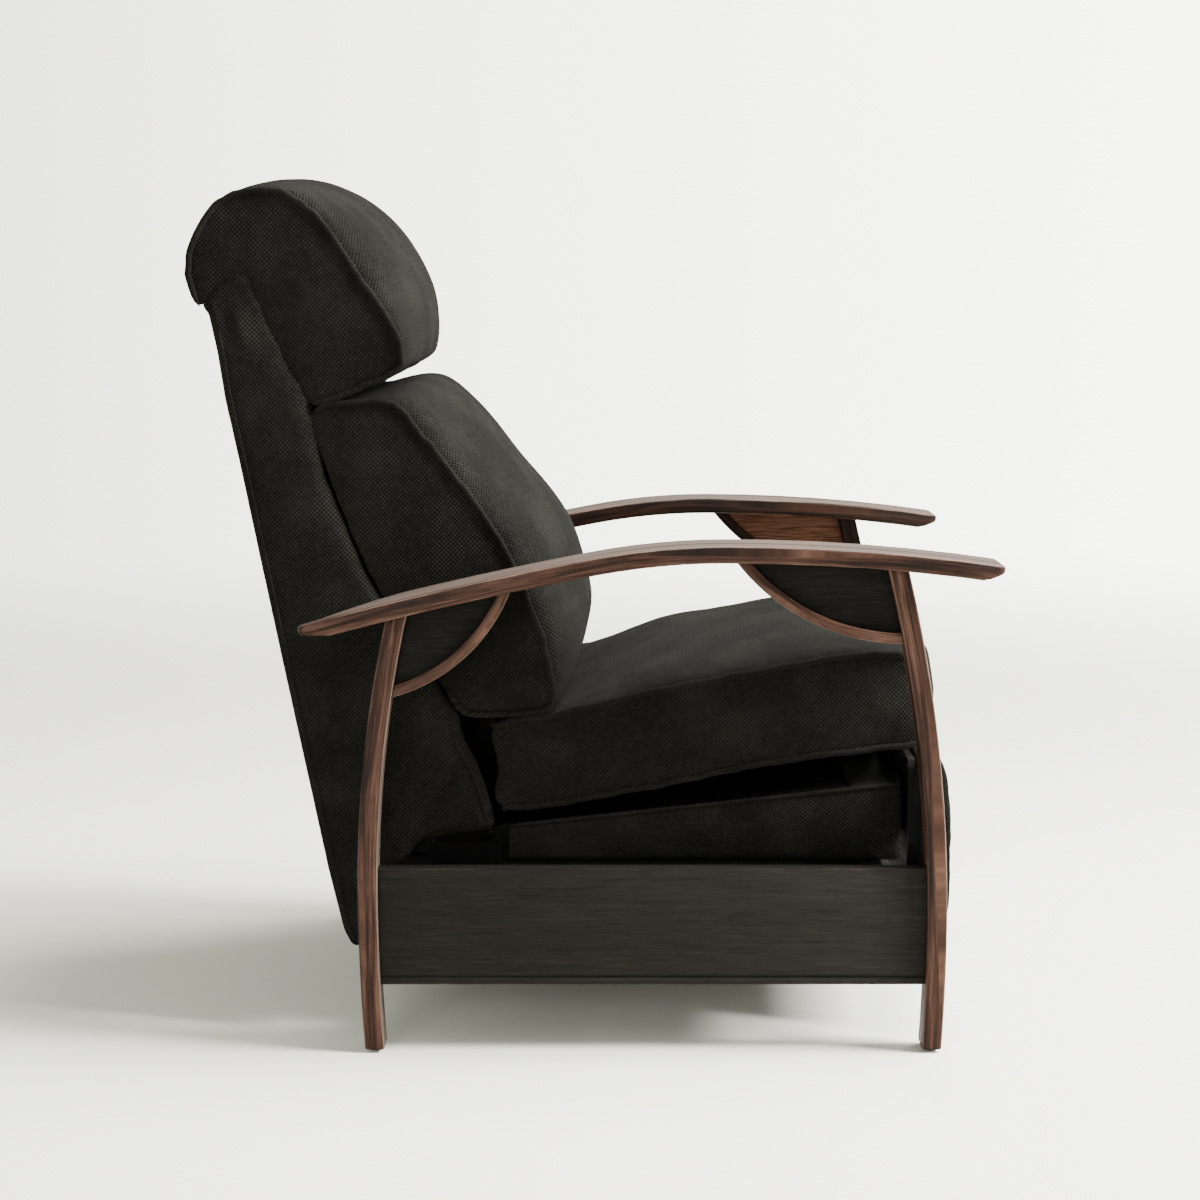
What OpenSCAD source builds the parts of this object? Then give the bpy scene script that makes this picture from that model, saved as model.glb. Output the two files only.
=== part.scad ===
// Push-back recliner: a bent-wood arm frame that carries a moving seat, a hinged back and a folding
// footrest.
// The front faces -Y, +X is the sitter's left, +Z is up. The origin is on the floor under the middle of
// the chair.
// Side shapes are drawn in profile, as [forward, up], and are then spread across the chair.

/* [Overall] */
// Depth from the rear of the head roll to the tips of the arms
overall_d = 998; // [980:2:1030]
// Width across the outer faces of the legs
frame_w = 750; // [720:5:800]

/* [Arms] */
// Width of each arm, seen from above
arm_w = 96; // [80:1:105]
// Thickness of the bent arm board
arm_t = 20.5; // [16:0.5:26]
// How far each arm stands out past the leg
arm_overhang = 15; // [5:1:25]
// Height of the top of the arm at its front tip
arm_tip_h = 604; // [580:2:630]
// Length of the gently sloping front of the arm
arm_front_len = 336; // [320:2:350]
// Length of the bend over the front bracket
arm_elbow_len = 166; // [150:2:180]
// Length of the rising run from the rear leg
arm_run_len = 220; // [205:2:235]
// Length of the tapered tail behind the rear leg
arm_tail_len = 144; // [130:2:160]
// Width of the arm at its rear tip
arm_tail_w = 28; // [20:1:60]
// Thickness of each arm at its rear tip
arm_tail_t = 10; // [6:1:16]
// Depth of the groove under the front tip
arm_groove = 3; // [1:0.5:6]

/* [Legs] */
// Width of a leg across the chair
leg_w = 45; // [35:1:55]
// Thickness of a leg from front to back
leg_t = 24; // [20:0.5:28]
// Distance from the arm tips back to the front of the bow of the front legs
front_leg_setback = 75; // [65:1:85]
// Distance between the bows of the front and rear legs
leg_base = 698; // [685:1:710]
// Height of the front leg's furthest point forward
front_bow_h = 165; // [130:5:200]
// Height of the rear leg's furthest point rearward
rear_bow_h = 200; // [160:5:240]
// Radius of the legs' bend below the bow
leg_low_r = 2650; // [2000:50:4000]
// Radius of the front leg's bend above the bow
front_leg_high_r = 1800; // [1600:20:2400]
// Radius of the rear leg's bend above the bow
rear_leg_high_r = 1540; // [1400:20:2000]
// Thickness of the glide under each foot
glide_h = 4; // [3:0.5:8]
// Diameter of the glide under each foot
glide_d = 20; // [14:1:22]

/* [Brackets] */
// Thickness of the bent rim of each corner bracket
rim_t = 13; // [9:0.5:16]
// How far the rim sits in from the leg's faces
rim_inset = 3; // [1:0.5:8]
// Thickness of the panel that fills a bracket
bracket_panel_t = 16; // [10:1:24]
// Outer radius of the front bracket's curve
front_bracket_r = 258; // [240:2:270]
// Outer radius of the rear bracket's curve
rear_bracket_r = 216; // [205:1:225]

/* [Rails] */
// Height of the side rails above the floor
rail_low = 84; // [70:1:95]
// Depth of the side rails, bottom to top
rail_h = 146; // [140:1:150]
// Thickness of the side rails
rail_t = 22; // [18:0.5:24]
// How far the side rails sit in from the legs' outer faces
rail_inset = 10; // [6:0.5:12]
// Height of the bead groove above the bottom of the rail
bead_h = 9; // [6:0.5:20]
// Width of the bead groove
bead_w = 2; // [1:0.5:4]
// Thickness of the floor-side cross boards
stretcher_t = 22; // [16:1:24]
// Width of the cross boards, front to back
stretcher_w = 60; // [40:2:70]

/* [Mechanism] */
// Thickness of the steel links and plates
plate_t = 3; // [2:0.25:3.25]
// Gap between steel layers that slide past each other
plate_gap = 0.3; // [0.2:0.05:0.4]
// Length of the swing links from pivot to pivot
swing_len = 95; // [90:1:100]
// Angle that the swing links lean back at rest
swing_lean = 35; // [30:1:38]
// Radius of the rivets
rivet_r = 4; // [3:0.25:4.5]
// Running clearance round a rivet
rivet_gap = 0.08; // [0.05:0.01:0.1]
// Half width of the links
link_r = 9; // [7:0.5:10]

/* [Upholstery] */
// Room beside the seat for the mechanism
side_gap = 45; // [44:1:50]
// Height of the crown of the head roll
back_top = 1070; // [1040:5:1110]
// Height of the lower hem of the back
back_low = 110; // [100:2:120]
// Depth of the back from its rearmost point to the front of the lumbar pillow
back_d = 497; // [485:1:500]
// Depth of the seat cushion
seat_d = 564; // [550:1:566]
// Height of the seat cushion from its lowest to its highest point
seat_rise = 229; // [220:1:235]
// Height of the underside of the seat cushion at the rear
seat_low = 283; // [281:1:290]
// Thickness of the back's outer panel
back_panel_t = 12; // [8:1:14]
// Thickness of the back's side panels
side_panel_t = 12.7; // [8:0.5:14]
// Height of the footrest pad
pad_h = 221; // [200:1:223]
// Thickness of the footrest pad at its middle
pad_t = 52; // [40:1:56]
// Thickness of the footrest board
board_t = 9; // [6:0.5:11]

/* [Seat box] */
// Thickness of the seat box's wooden rails
box_t = 20; // [16:1:22]
// Diameter of the seat spring wire
spring_wire = 4; // [3:0.5:5]
// Number of seat springs
spring_n = 5; // [3:1:6]

/* [Hidden] */

// Colours
dark_wood = [0.24, 0.16, 0.12];
rail_wood = [0.17, 0.13, 0.11];
pale_wood = [0.72, 0.58, 0.40];
fabric = [0.16, 0.16, 0.17];
steel = [0.13, 0.13, 0.14];
bright_steel = [0.62, 0.62, 0.64];
felt = [0.12, 0.11, 0.10];
web = [0.55, 0.50, 0.40];

// General values
overrun = 5;
touch_gap = 0.3;
far = 2 * overall_d;
bend_steps = 6;
round_n = 48;
wide_round_n = 240;

// Places across the chair, measured from its middle
leg_out = frame_w / 2;
leg_in = leg_out - leg_w;
arm_out = leg_out + arm_overhang;
arm_in = arm_out - arm_w;
rail_out = leg_out - rail_inset;
rail_in = rail_out - rail_t;
soft_half = leg_in - side_gap;
layer = plate_t + plate_gap;
base_x = rail_in - plate_gap;
swing_x = base_x - layer;
seat_flange_x = swing_x - layer;
ear_x = seat_flange_x - layer;
leg_pass = 2.7;
guide_x = leg_in - leg_pass;
hanger_x = guide_x - layer;
main_x = hanger_x - layer;
drive_x = main_x - layer;
tilt_x = drive_x - layer;
foot_web_x = tilt_x - layer;

// Places along the chair
back_reach = 499;
back_rear_f = -back_reach;
arm_tip_f = overall_d - back_reach;
front_bow_f = arm_tip_f - front_leg_setback;
rear_bow_f = front_bow_f - leg_base;

// The arm's bends: each run has a length and a turn, from the front tip to the rear
arm_nose_angle = 171.7;
arm_turns = [8.3, 10.8, 2.6, 2.4];
arm_runs = [arm_front_len, arm_elbow_len, arm_run_len, arm_tail_len];
arm_nose_round = 9;
arm_nose_len = 24;
arm_nose_rise = 9;
arm_tail_flat = 60;
arm_taper_share = 0.82;

// Points along one arc that starts at p with heading a
function arc_run(p, a, len, turn, n) =
  let (r = len / (turn * PI / 180))
  [for (i = [1 : n]) let (b = a + turn * i / n)
    [p[0] + r * (sin(b) - sin(a)), p[1] - r * (cos(b) - cos(a)), b]];

// Points along a chain of arcs, each [forward, up, heading]
function arc_chain(start, runs, turns, n, i = 0) =
  i == len(runs) ? [start] :
  let (next = arc_run(start, start[2], runs[i], turns[i], n))
  concat([start], [for (k = [0 : n - 2]) next[k]], arc_chain(next[n - 1], runs, turns, n, i + 1));

// A path moved sideways by d, to the left of its heading
function beside(path, d) = [for (p = path) [p[0] - d * sin(p[2]), p[1] + d * cos(p[2])]];

function backwards(list) = [for (i = [len(list) - 1 : -1 : 0]) list[i]];

arm_top_path = arc_chain([arm_tip_f, arm_tip_h, arm_nose_angle], arm_runs, arm_turns, bend_steps);
arm_under_path = beside(arm_top_path, arm_t);
arm_rear_f = arm_top_path[len(arm_top_path) - 1][0];

// Height of a list of points at one forward place, the list running rearward
function height_at(list, f, i = 0) =
  i >= len(list) - 2 || list[i + 1][0] <= f ?
    list[i][1] + (f - list[i][0]) * (list[i + 1][1] - list[i][1]) / (list[i + 1][0] - list[i][0]) :
    height_at(list, f, i + 1);

// A leg's centre line: bow is its extreme point, side is 1 where the ends fall rearward and -1 where
// forward
function leg_point(bow_f, bow_h, high_r, side, z) =
  let (dz = z - bow_h, r = dz < 0 ? leg_low_r : high_r)
  [bow_f - side * (r - sqrt(r * r - dz * dz)), z, 90 + side * asin(dz / r)];

function leg_line(bow_f, bow_h, high_r, side) =
  [for (i = [0 : leg_steps]) leg_point(bow_f, bow_h, high_r, side,
    leg_bottom + (leg_top - leg_bottom) * i / leg_steps)];

leg_steps = 18;
leg_bottom = -overrun;
leg_top = arm_tip_h + arm_t;
front_leg_path = leg_line(front_bow_f, front_bow_h, front_leg_high_r, 1);
rear_leg_path = leg_line(rear_bow_f, rear_bow_h, rear_leg_high_r, -1);

// Bracket curves: centres of their circles
front_bracket_drop = 96;
rear_bracket_drop = 162;
front_bracket_h = arm_tip_h - front_bracket_drop;
front_bracket_centre = [leg_point(front_bow_f, front_bow_h, front_leg_high_r, 1,
  front_bracket_h)[0] - leg_t / 2,
  front_bracket_h + front_bracket_r];
rear_bracket_h = arm_tip_h - rear_bracket_drop;
rear_bracket_lean = 15;
rear_bracket_foot = leg_point(rear_bow_f, rear_bow_h, rear_leg_high_r, -1, rear_bracket_h);
rear_bracket_centre = [rear_bracket_foot[0] + leg_t / 2 - rear_bracket_r * sin(rear_bracket_lean),
  rear_bracket_h + rear_bracket_r * cos(rear_bracket_lean)];
bracket_panel_inset = 13;
bracket_panel_x = leg_out - bracket_panel_inset;

// Swing pivots of the base, and where their upper ends lie at rest
base_pivot_h = 122;
rear_pivot_f = -45;
swing_base = 345;
front_pivot_f = rear_pivot_f + swing_base;
swing_reach = swing_len * sin(swing_lean);
swing_up = swing_len * cos(swing_lean);
rear_top_pivot = [rear_pivot_f - swing_reach, base_pivot_h + swing_up];
front_top_pivot = [front_pivot_f - swing_reach, base_pivot_h + swing_up];
base_plate_low = rail_low + stretcher_t + touch_gap;
base_plate_h = 38;
base_plate_rear_f = -130;
base_plate_front_f = 340;
front_stretcher_f = 190;
rear_stretcher_f = -110;
rear_bolt_f = -115;
middle_bolt_f = 80;
front_bolt_f = 330;
base_bolt_places = [rear_bolt_f, middle_bolt_f, front_bolt_f];
base_bolt_h = 134;
bolt_r = 3;
bolt_head_r = 6;
bolt_head_t = 3;
bolt_len = 16;
bolt_gap = 0.15;
head_r = 6.5;
head_t = 1.8;

// Seat rail: outer flange, top flange and hanger for the footrest links
back_hinge_share = [0.57143, 0.09375];
back_hinge = [back_rear_f + back_d * back_hinge_share[0],
  back_low + (back_top - back_low) * back_hinge_share[1]];
flange_end = 20;
seat_rail_low = 180;
seat_rail_top = 222;
seat_flange_rear_f = back_hinge[0] - flange_end;
seat_flange_front_f = 262;
top_flange_rear_f = -115;
hanger_rear_f = 232;
hanger_front_f = 362;
hanger_low = 172;
border_t = 7.7;
seat_box_half = soft_half - border_t - touch_gap;

// Seat box: the rails' top edge slopes up to the front
box_rear_f = -110;
box_front_f = 380;
box_rear_top = 246;
box_front_top = 292;
function box_top(f) = box_rear_top + (box_front_top - box_rear_top) * (f - box_rear_f) / (box_front_f -
  box_rear_f);
spring_pitch = 22;
spring_half = 20;
spring_slope = atan((box_front_top - box_rear_top) / (box_front_f - box_rear_f));
border_front_f = box_front_f + touch_gap + border_t;
border_rear_f = box_rear_f - touch_gap - border_t;
skirt_rear_f = -192;
wire_share = 1.2;

// Footrest linkage: pivots with the footrest folded
drive_pivot_f = 338.2;
drive_pivot_h = 189.8;
guide_pivot_f = 257.9;
guide_pivot_h = 203.2;
knee_f = 403.9;
knee_h = 107.5;
guide_pin_f = 375.8;
guide_pin_h = 99.1;
foot_pin_f = 420.3;
foot_pin_h = 306;
drive_pivot = [drive_pivot_f, drive_pivot_h];
guide_pivot = [guide_pivot_f, guide_pivot_h];
knee = [knee_f, knee_h];
guide_pin = [guide_pin_f, guide_pin_h];
foot_pin = [foot_pin_f, foot_pin_h];
tilt_arm = 38;
tilt_arm_angle = 107.1;
tilt_offset = [tilt_arm * cos(tilt_arm_angle), tilt_arm * sin(tilt_arm_angle)];
tilt_knee = knee + tilt_offset;
tilt_pin = foot_pin + tilt_offset;
guide_slack = 1.7;
tilt_slack = 0.5;
lug_r = 8;

// Footrest: board behind the pad, flange behind the board
foot_low = 135;
board_f = 396;
board_edge = 6;
foot_flange_f = board_f - touch_gap - plate_t;
foot_flange_low = 262;
foot_flange_top = 345;
foot_flange_w = 74.8;
foot_flange_in = foot_web_x - foot_flange_w;
foot_web_front = 404;

// Outlines of the back, as shares of the back's depth and height
back_rear_shares = [[0.058, 0.828], [0.078, 0.780], [0.096, 0.718], [0.128, 0.640], [0.176, 0.515],
  [0.224, 0.392], [0.266, 0.285], [0.300, 0.200], [0.338, 0.103], [0.376, 0.022]];
back_tail_shares = [[0.396, 0.002], [0.412, 0.000], [0.428, 0.008]];
back_under_shares = [[0.470, 0.060], [0.513, 0.122], [0.570, 0.144], [0.650, 0.150], [0.752, 0.156]];
back_front_shares = [[0.762, 0.168], [0.744, 0.206], [0.716, 0.245], [0.678, 0.284], [0.672, 0.308],
  [0.628, 0.342], [0.546, 0.406], [0.442, 0.495], [0.341, 0.623], [0.299, 0.704], [0.254, 0.755],
  [0.194, 0.816], [0.150, 0.868], [0.110, 0.862]];
function back_pt(s) = [back_rear_f + back_d * s[0], back_low + (back_top - back_low) * s[1]];
function back_pts(list) = [for (s = list) back_pt(s)];
cover_lean = 1.06;
stile_d = 40;
stile_t = 22;
stile_clear = 10;
stile_x = soft_half - side_panel_t - touch_gap - stile_clear;
stile_low_share = 0.105;
stile_top_share = 0.79;
web_w = 50;
web_t = 2.4;
web_shares = [0.22, 0.32, 0.42, 0.52, 0.62];
cross_h = 44;

// Soft forms: rings of control shares at the sides and at the middle of each cushion
head_side_shares = [[0.522, 0.754], [0.538, 0.774], [0.514, 0.812], [0.442, 0.868], [0.366, 0.928],
  [0.308, 0.962], [0.238, 0.984], [0.160, 0.984], [0.084, 0.968], [0.028, 0.928], [0.008, 0.878],
  [0.038, 0.835], [0.106, 0.866], [0.152, 0.872], [0.197, 0.820], [0.257, 0.758], [0.307, 0.712],
  [0.420, 0.728]];
head_mid_shares = [[0.548, 0.757], [0.578, 0.771], [0.588, 0.822], [0.556, 0.884], [0.490, 0.938],
  [0.396, 0.980], [0.290, 0.999], [0.180, 0.994], [0.076, 0.966], [0.016, 0.924], [0.000, 0.884],
  [0.024, 0.846], [0.090, 0.858], [0.144, 0.862], [0.197, 0.818], [0.257, 0.758], [0.307, 0.712],
  [0.430, 0.732]];
lumbar_side_shares = [[0.684, 0.310], [0.782, 0.308], [0.882, 0.314], [0.912, 0.333], [0.882, 0.408],
  [0.798, 0.516], [0.702, 0.594], [0.590, 0.669], [0.514, 0.712], [0.420, 0.716], [0.309, 0.701],
  [0.350, 0.623], [0.450, 0.495], [0.553, 0.406], [0.634, 0.344]];
lumbar_mid_shares = [[0.694, 0.316], [0.802, 0.318], [0.920, 0.326], [0.972, 0.360], [0.998, 0.432],
  [0.938, 0.538], [0.808, 0.623], [0.684, 0.702], [0.582, 0.739], [0.432, 0.718], [0.313, 0.699],
  [0.350, 0.623], [0.450, 0.495], [0.553, 0.406], [0.640, 0.346]];
seat_rear_f = -124;
seat_side_shares = [[0.028, 0.022], [0.310, 0.118], [0.584, 0.258], [0.806, 0.336], [0.936, 0.376],
  [0.938, 0.500], [0.926, 0.700], [0.906, 0.874], [0.756, 0.858], [0.550, 0.764], [0.352, 0.672],
  [0.142, 0.552], [0.004, 0.478], [0.012, 0.260]];
seat_mid_shares = [[0.036, 0.006], [0.310, 0.066], [0.584, 0.184], [0.806, 0.276], [0.960, 0.392],
  [0.996, 0.500], [0.998, 0.660], [0.968, 0.860], [0.780, 0.990], [0.560, 0.914], [0.370, 0.824],
  [0.146, 0.548], [0.012, 0.508], [0.018, 0.260]];
deck_side_shares = [[0.000, 0.000], [0.060, 0.000], [0.490, 0.000], [0.940, 0.000], [0.980, 0.000],
  [0.996, 0.020], [0.998, 0.140], [0.980, 0.277], [0.940, 0.378], [0.700, 0.412], [0.470, 0.420],
  [0.230, 0.333], [0.024, 0.167], [0.000, 0.100], [0.000, 0.030]];
deck_mid_shares = [[0.000, 0.000], [0.060, 0.000], [0.490, 0.000], [0.940, 0.000], [0.980, 0.000],
  [0.996, 0.020], [0.998, 0.190], [0.984, 0.517], [0.930, 0.783], [0.700, 0.640], [0.470, 0.490],
  [0.230, 0.455], [0.024, 0.455], [0.000, 0.220], [0.000, 0.030]];
pad_side_shares = [[0.000, 0.060], [0.000, 0.030], [0.050, 0.010], [0.300, 0.004], [0.660, 0.020],
  [0.830, 0.110], [0.850, 0.440], [0.800, 0.780], [0.640, 0.950], [0.300, 0.996], [0.050, 0.990],
  [0.000, 0.970], [0.000, 0.940], [0.000, 0.500]];
pad_mid_shares = [[0.000, 0.060], [0.000, 0.030], [0.050, 0.004], [0.340, 0.000], [0.780, 0.016],
  [0.970, 0.110], [0.998, 0.440], [0.930, 0.760], [0.760, 0.940], [0.340, 0.996], [0.050, 0.996],
  [0.000, 0.970], [0.000, 0.940], [0.000, 0.500]];
// Stations across half a cushion: place, crown and draw-in shares, from the side to the middle
station_shares = [[1.00, 0.00, 0.05], [0.985, 0.00, 0.015], [0.955, 0.06, 0.00], [0.90, 0.34, 0.00],
  [0.78, 0.64, 0.00], [0.58, 0.87, 0.00], [0.30, 0.97, 0.00], [0.00, 1.00, 0.00]];
ring_steps = 2;

// Modules and functions that several pieces share

// Draws a left piece as it is, and a right piece as its mirror image
module on_side(side) {
  if (side > 0) children();
  else mirror([1, 0, 0]) children();
}

// Spreads a profile of [forward, up] points across the chair, from x_in to x_out
module across(points, x_in, x_out) {
  translate([x_out, 0, 0]) rotate([90, 0, -90]) linear_extrude(x_out - x_in) polygon(points);
}

// A rod across the chair at one profile place
module rod(place, r, x_in, x_out, n = round_n) {
  translate([x_in, -place[0], place[1]]) rotate([0, 90, 0]) cylinder(h = x_out - x_in, r = r, $fn = n);
}

// A straight strap between two profile places, with round ends a little wider than its bar
bar_share = 0.96;
module strap(a, b, r, x_in, x_out) {
  run = norm(b - a);
  lean = atan2(b[1] - a[1], b[0] - a[0]);
  half = r * bar_share;
  rod(a, r, x_in, x_out);
  rod(b, r, x_in, x_out);
  translate([x_out, 0, 0]) rotate([90, 0, -90])
    linear_extrude(x_out - x_in) translate(a) rotate(lean) translate([0, -half]) square([run, 2 * half]);
}

// A block between profile places low and high, from x_in to x_out
module block(low, high, x_in, x_out) {
  translate([x_in, -high[0], low[1]]) cube([x_out - x_in, high[0] - low[0], high[1] - low[1]]);
}

function curve_point(a, b, c, d, t) =
  (2 * b + (c - a) * t + (2 * a - 5 * b + 4 * c - d) * t * t + (3 * b - a - 3 * c + d) * t * t * t) / 2;

// A smooth closed ring through its control points
function smooth_ring(list) =
  let (n = len(list))
  [for (i = [0 : n - 1]) for (j = [0 : ring_steps - 1])
    curve_point(list[(i + n - 1) % n], list[i], list[(i + 1) % n], list[(i + 2) % n], j / ring_steps)];

function sum_points(list, i = 0) = i == len(list) ? [0, 0] : list[i] + sum_points(list, i + 1);
function middle(list) = sum_points(list) / len(list);

// A cushion's ring at one station: side and mid are profile rings
function station_ring(side, mid, s, x) =
  let (c = middle(side), blend = side + (mid - side) * s[1])
  [for (p = blend) let (q = p + (c - p) * s[2]) [x, -q[0], q[1]]];

// A cushion lofted across the chair between its side rings
module cushion(side_points, mid_points, half) {
  side = smooth_ring(side_points);
  mid = smooth_ring(mid_points);
  n = len(side);
  last = len(station_shares) - 1;
  right = [for (s = station_shares) station_ring(side, mid, s, -half * s[0])];
  left = [for (i = [last - 1 : -1 : 0]) station_ring(side, mid, station_shares[i],
    half * station_shares[i][0])];
  rings = concat(right, left);
  m = len(rings);
  c = middle(side);
  points = concat([for (r = rings) for (p = r) p], [[-half, -c[0], c[1]], [half, -c[0], c[1]]]);
  skin = [for (k = [0 : m - 2]) for (i = [0 : n - 1])
    let (a = k * n + i, b = k * n + (i + 1) % n)
    each [[a, b, b + n], [a, b + n, a + n]]];
  start_cap = [for (i = [0 : n - 1]) [m * n, (i + 1) % n, i]];
  end_cap = [for (i = [0 : n - 1]) [m * n + 1, (m - 1) * n + i, (m - 1) * n + (i + 1) % n]];
  polyhedron(points, concat(skin, start_cap, end_cap), convexity = 6);
}

// Everything above the underside of the arm, to trim what the arm sits on
module above_arm(x_in, x_out) {
  across(concat(arm_under_path_flat, [[-far, far], [far, far]]), x_in, x_out);
}
arm_under_path_flat = concat([[far, arm_under_path[0][1] + (arm_under_path[0][0] - far) *
  tan(arm_turns[0])]],
  [for (p = arm_under_path) [p[0], p[1]]],
  [[-far, arm_under_path[len(arm_under_path) - 1][1] - (arm_under_path[len(arm_under_path) - 1][0] + far)
    * tan(arm_turns[0] + arm_turns[1])]]);

// Everything in front of the rear face of the front leg
module front_of_leg(x_in, x_out) {
  across(concat(beside(front_leg_path, leg_t / 2), [[far, leg_top], [far, leg_bottom]]), x_in, x_out);
}

// Everything behind the front face of the rear leg
module behind_leg(x_in, x_out) {
  across(concat(beside(rear_leg_path, -leg_t / 2), [[-far, leg_top], [-far, leg_bottom]]), x_in, x_out);
}

// Wooden frame

module arm() {
  n = len(arm_top_path);
  nose = arm_nose_round;
  taper_f = arm_top_path[n - 1 - bend_steps][0];
  tip_f = arm_rear_f;
  taper = taper_f - tip_f;
  plan = concat(
    [[arm_tip_f - nose, arm_out], [arm_tip_f - nose / 3, arm_out - nose / 3],
      [arm_tip_f, arm_out - nose]],
    [[arm_tip_f, arm_in + nose], [arm_tip_f - nose / 3, arm_in + nose / 3], [arm_tip_f - nose, arm_in]],
    [for (i = [0 : 8]) let (s = i / 8)
      [taper_f - taper * s * arm_taper_share, arm_in + (arm_w - arm_tail_w) * (1 - cos(90 * s)) ]],
    [[tip_f + nose / 3, arm_out - arm_tail_w + nose / 2], [tip_f, arm_out - arm_tail_w / 2],
      [tip_f + nose / 3, arm_out - nose / 2], [tip_f + nose, arm_out]]);
  color(dark_wood) difference() {
    intersection() {
      across(concat([for (p = arm_top_path) [p[0], p[1]]], backwards(arm_under_path)), arm_in - overrun,
        arm_out + overrun);
      translate([0, 0, arm_tip_h / 2]) linear_extrude(arm_tip_h) polygon([for (p = plan) [p[1], -p[0]]]);
    }
    groove_f = arm_tip_f - arm_nose_len;
    groove_z = height_at(arm_under_path, groove_f);
    across([[groove_f - arm_groove, groove_z - arm_groove], [groove_f, groove_z + arm_groove],
      [groove_f + arm_groove, groove_z + arm_nose_rise * arm_groove / arm_nose_len],
      [arm_tip_f + arm_nose_len, groove_z + 2 * arm_nose_rise], [arm_tip_f + arm_nose_len,
        groove_z - arm_nose_len]],
      arm_in - overrun, arm_out + overrun);
    block([-far, 0], [arm_rear_f + arm_tail_flat, arm_top_path[n - 1][1] - arm_tail_t],
      arm_in - overrun, arm_out + overrun);
  }
}

module leg(path) {
  color(dark_wood) difference() {
    across(concat(beside(path, leg_t / 2), backwards(beside(path, -leg_t / 2))), leg_in, leg_out);
    above_arm(leg_in - overrun, leg_out + overrun);
    block([-far, leg_bottom - overrun], [far, glide_h], leg_in - overrun, leg_out + overrun);
  }
}

module bracket_space(front, x_in, x_out) {
  difference() {
    children();
    above_arm(x_in - overrun, x_out + overrun);
    if (front) front_of_leg(x_in - overrun, x_out + overrun);
    else behind_leg(x_in - overrun, x_out + overrun);
    if (front) block([-far, front_bracket_centre[1]], [far, far], x_in - overrun, x_out + overrun);
    else block([-far, rear_bracket_centre[1]], [far, far], x_in - overrun, x_out + overrun);
  }
}

module bracket_rim(front) {
  c = front ? front_bracket_centre : rear_bracket_centre;
  r = front ? front_bracket_r : rear_bracket_r;
  x_in = leg_in + rim_inset;
  x_out = leg_out - rim_inset;
  color(dark_wood) bracket_space(front, x_in, x_out) difference() {
    rod(c, r, x_in, x_out, wide_round_n);
    rod(c, r - rim_t, x_in - overrun, x_out + overrun, wide_round_n);
  }
}

module bracket_panel(front) {
  c = front ? front_bracket_centre : rear_bracket_centre;
  r = front ? front_bracket_r : rear_bracket_r;
  x_out = bracket_panel_x;
  x_in = x_out - bracket_panel_t;
  color(rail_wood) bracket_space(front, x_in, x_out) rod(c, r - rim_t, x_in, x_out, wide_round_n);
}

module side_rail() {
  rail_top = rail_low + rail_h;
  color(rail_wood) difference() {
    block([rear_bow_f - leg_t, rail_low], [front_bow_f + leg_t, rail_top], rail_in, rail_out);
    front_of_leg(rail_in - overrun, rail_out + overrun);
    behind_leg(rail_in - overrun, rail_out + overrun);
    block([-far, rail_low + bead_h], [far, rail_low + bead_h + bead_w], rail_out - bead_w,
      rail_out + overrun);
    for (f = base_bolt_places)
      rod([f, base_bolt_h], bolt_r + bolt_gap, rail_in - overrun, base_x + bolt_len);
  }
}

module stretcher(rear_f) {
  color(rail_wood)
    block([rear_f, rail_low], [rear_f + stretcher_w, rail_low + stretcher_t], -rail_in, rail_in);
}

module leg_glides() {
  foot_x = leg_in + leg_w / 2;
  color(felt) for (side = [-1, 1])
    for (path = [front_leg_path, rear_leg_path]) {
      f = leg_point_at(path, glide_h);
      translate([side * foot_x, -f, 0]) cylinder(h = glide_h, d = glide_d, $fn = round_n);
    }
}
function leg_point_at(path, z, i = 0) =
  path[i + 1][1] >= z ? path[i][0] + (path[i + 1][0] - path[i][0]) * (z - path[i][1]) / (path[i + 1][1]
    - path[i][1]) :
  leg_point_at(path, z, i + 1);

// Steel base of the mechanism

module base_bolts() {
  color(bright_steel) for (side = [-1, 1]) on_side(side)
    for (f = base_bolt_places) {
      rod([f, base_bolt_h], bolt_r, base_x - plate_t, base_x + bolt_len - touch_gap);
      rod([f, base_bolt_h], bolt_head_r, base_x - plate_t - bolt_head_t, base_x - plate_t);
    }
}

module mechanism_base() {
  color(steel) difference() {
    block([base_plate_rear_f, base_plate_low], [base_plate_front_f, base_plate_low + base_plate_h],
      base_x - plate_t, base_x);
    for (f = base_bolt_places)
      rod([f, base_bolt_h], bolt_r + bolt_gap, base_x - plate_t - overrun, base_x + overrun);
    for (f = [rear_pivot_f, front_pivot_f])
      rod([f, base_pivot_h], rivet_r + rivet_gap, base_x - plate_t - overrun, base_x + overrun);
  }
}

module base_rivets() {
  color(bright_steel) for (side = [-1, 1]) on_side(side)
    for (f = [rear_pivot_f, front_pivot_f])
      stud_in([f, base_pivot_h], swing_x - plate_t, base_x);
}

// A flat link with a hole at each end, from profile place a to b
module flat_link(a, b, x, hole_a, hole_b, r = link_r) {
  difference() {
    strap(a, b, r, x - plate_t, x);
    if (hole_a > 0) rod(a, hole_a, x - plate_t - overrun, x + overrun);
    if (hole_b > 0) rod(b, hole_b, x - plate_t - overrun, x + overrun);
  }
}

module swing_link(base_f, top) {
  hole = rivet_r + rivet_gap;
  color(steel) flat_link([base_f, base_pivot_h], top, swing_x, hole, hole, swing_r);
}
swing_r = 11;

// Seat carriage

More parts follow.
